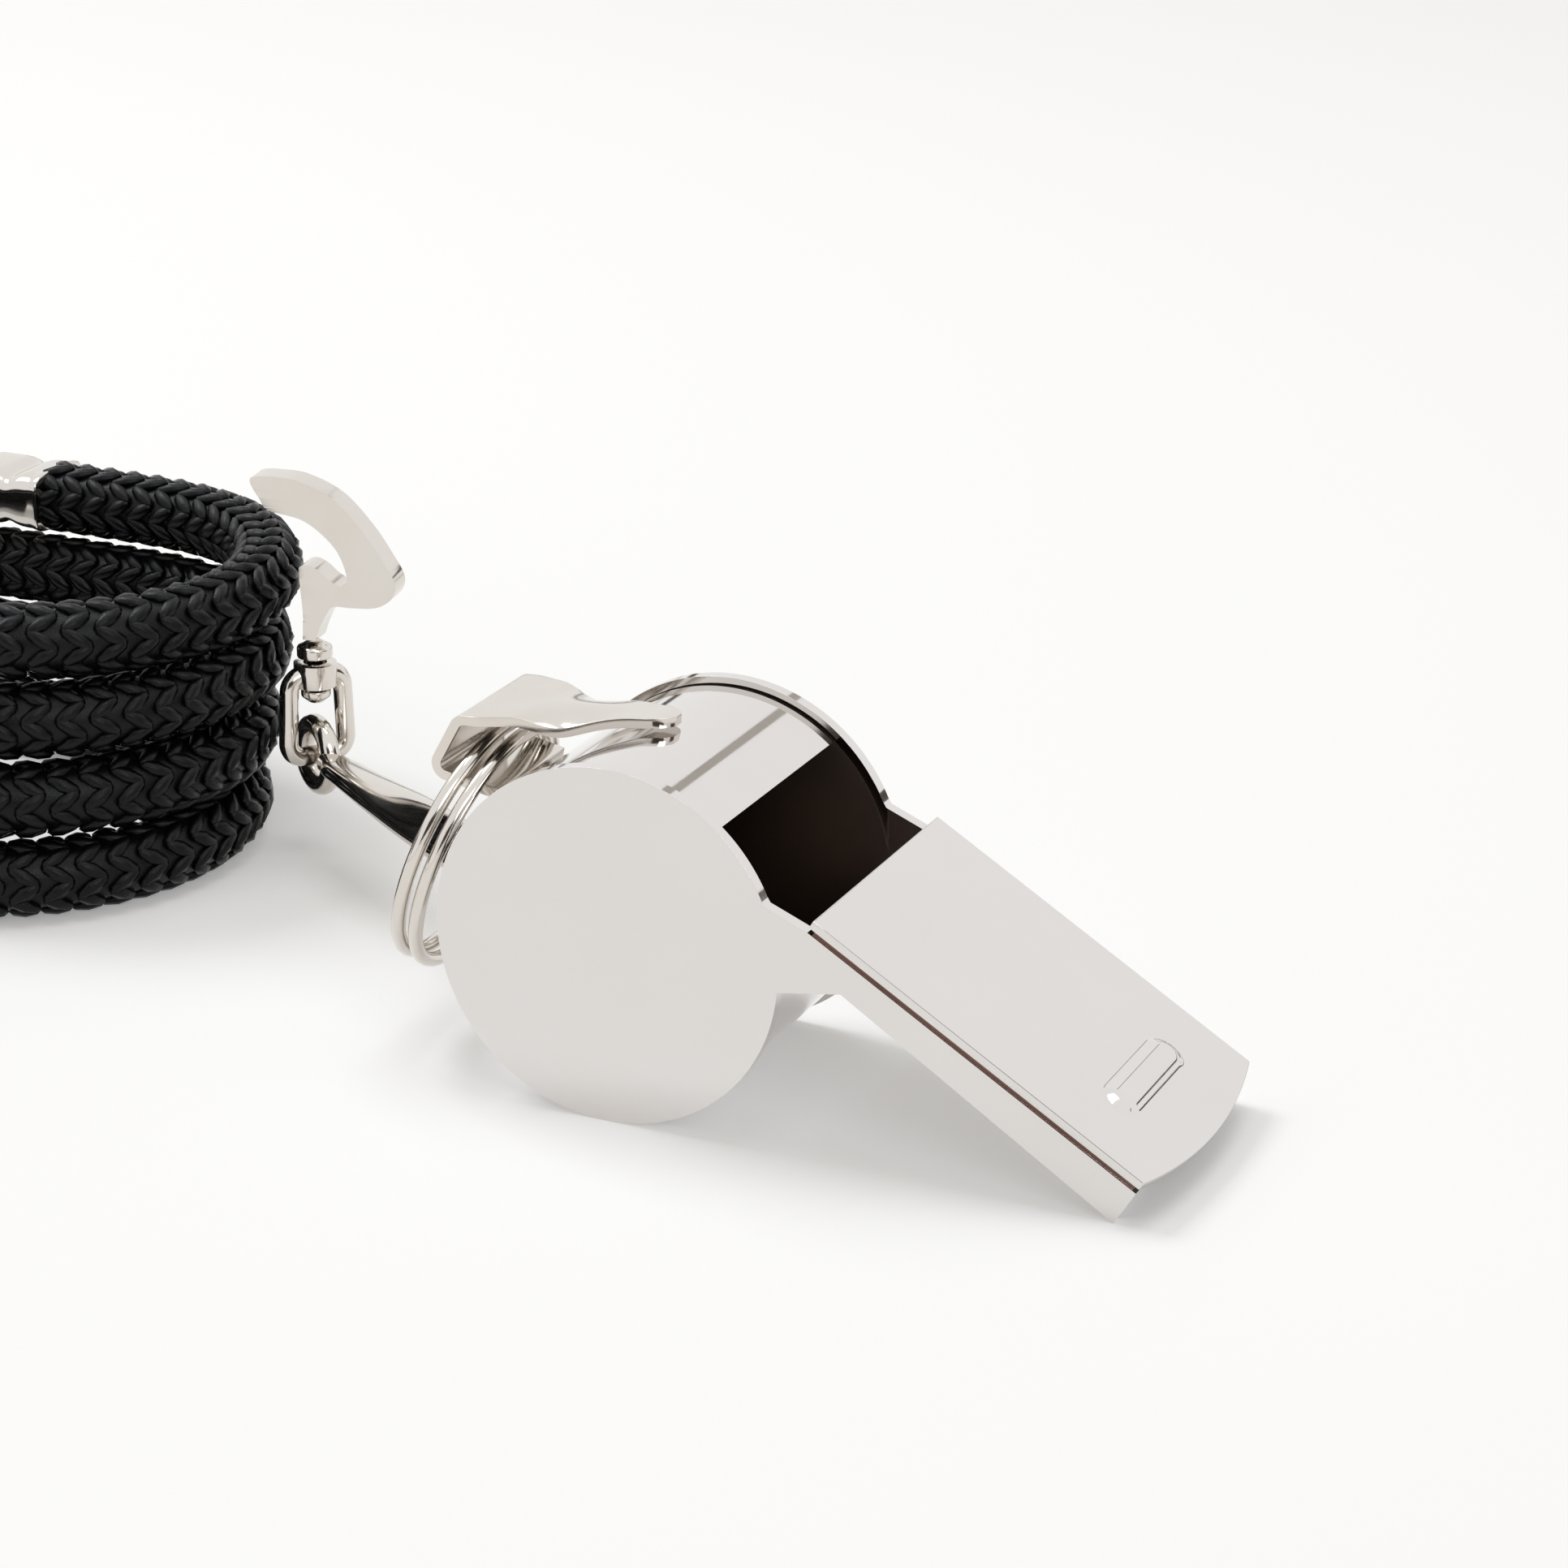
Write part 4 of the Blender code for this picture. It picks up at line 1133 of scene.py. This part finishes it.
# %% Helpers for the hook
HOOK_BEARING = 9.0
HOOK_STAND_OFF = 19.15
HOOK_THICKNESS = 1.9
HOOK_NECK_Z = 15.1
HOOK_ROUND = 0.5
HOOK_LINE = [
    (-0.45, 0.0), (-0.42, 1.0), (-0.4, 1.9), (-0.6, 4.5), (-0.5, 5.1), (0.1, 5.25), (0.8, 4.95), (1.6, 4.3),
    (2.35, 4.0), (2.8, 4.5), (2.3, 6.1), (1.3, 7.3), (-0.3, 8.35), (-2.6, 8.8), (-3.2, 9.5), (-3.85, 10.6),
    (-3.6, 11.05), (-2.2, 11.15), (-0.4, 11.0), (2.0, 9.95), (4.0, 7.95), (5.3, 6.1), (6.15, 4.6), (6.0, 3.6),
    (5.3, 2.95), (4.4, 2.65), (3.0, 2.55), (1.75, 2.5), (1.25, 1.9), (0.8, 1.0), (0.45, 0.0),
]
bearing = math.radians(HOOK_BEARING)
hook_out = Vector((math.cos(bearing), math.sin(bearing), 0))
hook_side = Vector((-math.sin(bearing), math.cos(bearing), 0))
hook_foot = Vector((*COIL_CENTRE, 0)) + hook_out * HOOK_STAND_OFF


def eased(t, a, b, c, d):
    """A value that runs from b at 0 to c at 1, and leaves and arrives in step with a and d."""
    return (b * 2 + (c - a) * t + (a * 2 - b * 5 + c * 4 - d) * t**2 + (b * 3 - a - c * 3 + d) * t**3) / 2


def curve_through(points, steps):
    line = []
    padded = [points[0]] + list(points) + [points[-1]]
    for corners in zip(padded, padded[1:], padded[2:], padded[3:]):
        for i in range(steps):
            line.append(tuple(eased(i / steps, *values) for values in zip(*corners)))
    return line + [tuple(points[-1])]


# %% Make the hook
hook_place = frame_from(hook_out, Vector((0, 0, 1)), -hook_side, hook_foot)
hook_outline = [(x, HOOK_NECK_Z + rise) for x, rise in curve_through(HOOK_LINE, 12)]
hook_mesh = slab("arm", hook_outline, HOOK_THICKNESS, hook_place)
hook = finished("snap_hook", hook_mesh, PLACE, HOOK_ROUND, segments=10, angle=45, sharp=4.4)
dress(hook, hardware, "hook", "hardware", "hook_body")

# %% Turned pieces
def lathe(name, profile, place, facets=64):
    shape = bmesh.new()
    verts = [shape.verts.new((r * MM, 0, z * MM)) for r, z in profile]
    edges = [shape.edges.new(pair) for pair in zip(verts, verts[1:])]
    bmesh.ops.spin(shape, geom=verts + edges, cent=(0, 0, 0), axis=(0, 0, 1), angle=math.tau, steps=facets)
    bmesh.ops.remove_doubles(shape, verts=shape.verts, dist=1e-6)
    bmesh.ops.recalc_face_normals(shape, faces=shape.faces)
    mesh = as_mesh(shape, name)
    mesh.transform(place)
    return mesh


def rod(name, radius, low, high, place):
    return lathe(name, [(0, high), (radius, high), (radius, low), (0, low)], place)


EYE_WIRE = 1.3
EYE_HALF_WIDTH = 2.15
EYE_BAR_Z = 6.7
EYE_TOP_Z = 12.5
EYE_CORNER = 1.1
EYE_SHOULDER = 0.25
BOSS_RADIUS = 1.45
BOSS_HEIGHT = 1.6
PIN_RADIUS = 0.5
PIN_HEAD_RADIUS = 1.0
PIN_HEAD_HEIGHT = 0.9
COLLAR_RADIUS = 1.2
COLLAR_CROWN = 0.2
COLLAR_CHAMFER = 0.1
PIN_EDGE = 0.1
EYE_EDGE = 0.12
boss_top, boss_low = EYE_TOP_Z + BOSS_HEIGHT / 2, EYE_TOP_Z - BOSS_HEIGHT / 2
pin_top, collar_foot, head_top = HOOK_NECK_Z - GAP, boss_top + GAP, boss_low - GAP
pin_profile = [
    (0, pin_top),
    (PIN_RADIUS, pin_top),
    (COLLAR_RADIUS, (pin_top + collar_foot) / 2 + COLLAR_CROWN),
    (COLLAR_RADIUS, collar_foot + COLLAR_CHAMFER),
    (PIN_RADIUS, collar_foot),
    (PIN_RADIUS, head_top),
    (PIN_HEAD_RADIUS, head_top),
    (PIN_HEAD_RADIUS, head_top - PIN_HEAD_HEIGHT / 2),
    (PIN_RADIUS, head_top - PIN_HEAD_HEIGHT),
    (0, head_top - PIN_HEAD_HEIGHT),
]
foot_place = Matrix.Translation(hook_foot * MM)
pin = finished("swivel_stem", lathe("pin", pin_profile, foot_place), PLACE, PIN_EDGE, angle=30)
dress(pin, hardware, "hook", "hardware", "swivel_pin")

# %% [markdown]
# ## The link
# A flat link with a loop at each end joins the eye to the ring. The two loops face different ways, so the
# link is twisted between them. It is drawn as rings of points that turn a little from one to the next.

# %% Directions of the link
ring_angle = math.radians(LINK_AT_RING)
at_ring = on_ring(ring_angle)
ring_way = (Vector((0, math.cos(ring_angle), 0)) - hang * math.sin(ring_angle)).normalized()
at_eye = hook_foot + Vector((0, 0, EYE_BAR_Z))
link_run = at_eye - at_ring
bar_way = Vector((-link_run.y, link_run.x, 0)).normalized()
run_way = link_run.normalized()
print("link runs", round(link_run.length, 1), "mm")

# %% Make the wire eye
eye_corners = [
    (0, EYE_TOP_Z),
    (EYE_HALF_WIDTH - EYE_SHOULDER, EYE_TOP_Z),
    (EYE_HALF_WIDTH, EYE_BAR_Z),
    (-EYE_HALF_WIDTH, EYE_BAR_Z),
    (-EYE_HALF_WIDTH + EYE_SHOULDER, EYE_TOP_Z),
    (0, EYE_TOP_Z),
]
eye_line = [hook_foot + bar_way * a + Vector((0, 0, b)) for a, b in rounded(eye_corners, EYE_CORNER, 14)[:-1]]
eye_mesh = tube("eye", eye_line, EYE_WIRE, 6, closed=True)
boss = rod("boss", BOSS_RADIUS, boss_low, boss_top, foot_place)
bore = rod("bore", PIN_RADIUS + GAP, boss_low - 1, boss_top + 1, foot_place)
eye = finished("wire_eye", eye_mesh, PLACE, EYE_EDGE, angle=40, joins=[boss], cuts=[bore])
dress(eye, hardware, "eye", "hardware", "swivel_eye")

# %% Make the link
LINK_EYE_RADIUS = 2.1
LINK_EYE_WIRE = 1.4
LINK_WIDTH = 3.4
LINK_THICKNESS = 1.5
LINK_TWIST = 80.0
LINK_TAPER = 2.5
LINK_NECK = 0.6
LINK_SQUARENESS = 0.8


def torus(name, centre, axis, radius, wire, steps=60):
    one = axis.orthogonal().normalized()
    two = axis.cross(one).normalized()
    points = []
    for i in range(steps):
        a = math.tau * i / steps
        points.append(centre + (one * math.cos(a) + two * math.sin(a)) * radius)
    return tube(name, points, wire, 6, closed=True)


flat_way = (ring_way + bar_way).normalized()
flat_way = (flat_way - run_way * flat_way.dot(run_way)).normalized()
side_way = flat_way.cross(run_way)
bar_length = link_run.length - 2 * LINK_EYE_RADIUS
link_place = frame_from(run_way, side_way, run_way.cross(side_way), (at_ring + at_eye) / 2)


def link_mesh(steps=48):
    rings = []
    for i in range(steps + 1):
        share = i / steps
        swell = smooth_step(min(share, 1 - share) * bar_length / LINK_TAPER)
        half = LINK_WIDTH / 2 * (LINK_NECK + (1 - LINK_NECK) * swell)
        turn = math.radians(LINK_TWIST) * (smooth_step(share) - 0.5)
        rings.append(flat_ring((share - 0.5) * bar_length, half, LINK_THICKNESS / 2, turn, LINK_SQUARENESS))
    return loft("bar", rings)


loops = []
for centre, axis in ((at_ring, ring_way), (at_eye, bar_way)):
    axis = (axis - run_way * axis.dot(run_way)).normalized()
    loops.append(torus("loop", centre, axis, LINK_EYE_RADIUS, LINK_EYE_WIRE))
bar = link_mesh()
bar.transform(link_place)
link = finished("flat_link", bar, PLACE, SMALL_EDGE, angle=50, joins=loops)
dress(link, hardware, "link", "hardware", "twisted_link")

# %% [markdown]
# ## The studio
# The photograph is a cut-out look: a white sheet, soft light from all sides, and one brighter window to the
# left that leaves a faint warm shadow to the right. Polished metal is drawn by what stands around it, so a
# few boards, most of them dark, stand outside the view, as a product photographer would set them.

# %% Floor and world
WHITE = (1.0, 1.0, 1.0, 1.0)
SHEET_COLOUR = (0.79, 0.785, 0.78, 1.0)
SHEET_GLOW = 0.26
ROOM_COLOUR = (0.98, 0.925, 0.85, 1.0)
ROOM_STRENGTH = 0.45


def looked_at(graph):
    """1 for what the eye, a mirror or a glass looks at, and 0 for the light that a surface passes on."""
    seen, mirrored, through = (
        graph.node("ShaderNodeLightPath", output=name)
        for name in ("Is Camera Ray", "Is Glossy Ray", "Is Transmission Ray")
    )
    return seen.maths("MAXIMUM", mirrored).maths("MAXIMUM", through)


def flat_sheet(name, half_size, cells):
    shape = bmesh.new()
    bmesh.ops.create_grid(shape, x_segments=cells, y_segments=cells, size=half_size)
    return as_mesh(shape, name)


def make_floor():
    finish = Finish("studio_sheet")
    finish.tree.nodes.remove(finish.shader)
    sheet = finish.node("ShaderNodeBsdfDiffuse", Color=SHEET_COLOUR)
    glow = finish.node("ShaderNodeEmission", Color=WHITE, Strength=SHEET_GLOW)
    both = finish.node("ShaderNodeAddShader", i0=sheet, i1=glow)
    choice = finish.node("ShaderNodeMixShader", i0=looked_at(finish), i1=sheet, i2=both)
    finish.tree.links.new(choice.socket, finish.tree.nodes["Material Output"].inputs[0])
    return finish.material


floor_sheet = flat_sheet("studio_floor", 3.0, 2)
floor_sheet.materials.append(make_floor())
helper("studio_floor", floor_sheet)

world = bpy.data.worlds.new("studio_air")
scene.world = world
world.use_nodes = True
air = Graph(world.node_tree)
background = air.tree.nodes["Background"]
background.inputs["Color"].default_value = ROOM_COLOUR
background.inputs["Strength"].default_value = ROOM_STRENGTH
room = Value(air.tree, background.outputs[0])
white = air.node("ShaderNodeBackground", Color=WHITE)
choice = air.node("ShaderNodeMixShader", i0=looked_at(air), i1=room, i2=white)
air.tree.links.new(choice.socket, air.tree.nodes["World Output"].inputs[0])
print("floor and air ready")

# %% Lamps and boards
DAYLIGHT = (0.92, 0.965, 1.0)


def lamp(name, place, aim, size, power):
    data = bpy.data.lights.new(name, "AREA")
    data.shape = "RECTANGLE"
    data.size, data.size_y = size
    data.energy = power
    data.color = DAYLIGHT
    item = bpy.data.objects.new(name, data)
    scene.collection.objects.link(item)
    item.location = place
    item.rotation_euler = (Vector(aim) - Vector(place)).to_track_quat("-Z", "Y").to_euler()


def board(name, place, size, colour):
    mesh = flat_sheet(name, 0.5, 1)
    turn = (-Vector(place)).to_track_quat("-Z", "Y").to_matrix().to_4x4()
    mesh.transform(Matrix.Translation(place) @ turn @ Matrix.Diagonal((*size, 1.0, 1.0)))
    mesh.materials.append(Finish(name, Base_Color=(*colour, 1.0), Roughness=0.9).material)
    item = helper(name, mesh)
    item.visible_camera = False
    item.visible_shadow = False


lamp("window", (-0.45, 0.1, 0.6), (0, 0, 0.01), (0.3, 0.3), 1.9)
lamp("fill", (0.5, -0.5, 0.45), (0, 0, 0.01), (0.4, 0.3), 1.2)
lamp("ceiling", (0.05, 0.1, 0.8), (0, 0, 0), (0.4, 0.4), 1.3)
board("back_bar_low", (0.0, 0.9, 0.10), (1.2, 0.05), (0.15, 0.13, 0.11))
board("streak_board", (-0.068, 0.95, 0.607), (0.066, 0.20), (0.95, 0.92, 0.88))
board("front_board", (0.45, -1.05, 0.34), (1.1, 0.56), (0.10, 0.08, 0.065))
board("right_board", (0.95, 0.12, 0.24), (0.6, 0.40), (0.14, 0.115, 0.095))
board("left_board", (-0.95, -0.25, 0.16), (0.5, 0.2), (0.30, 0.24, 0.19))
print("studio ready")
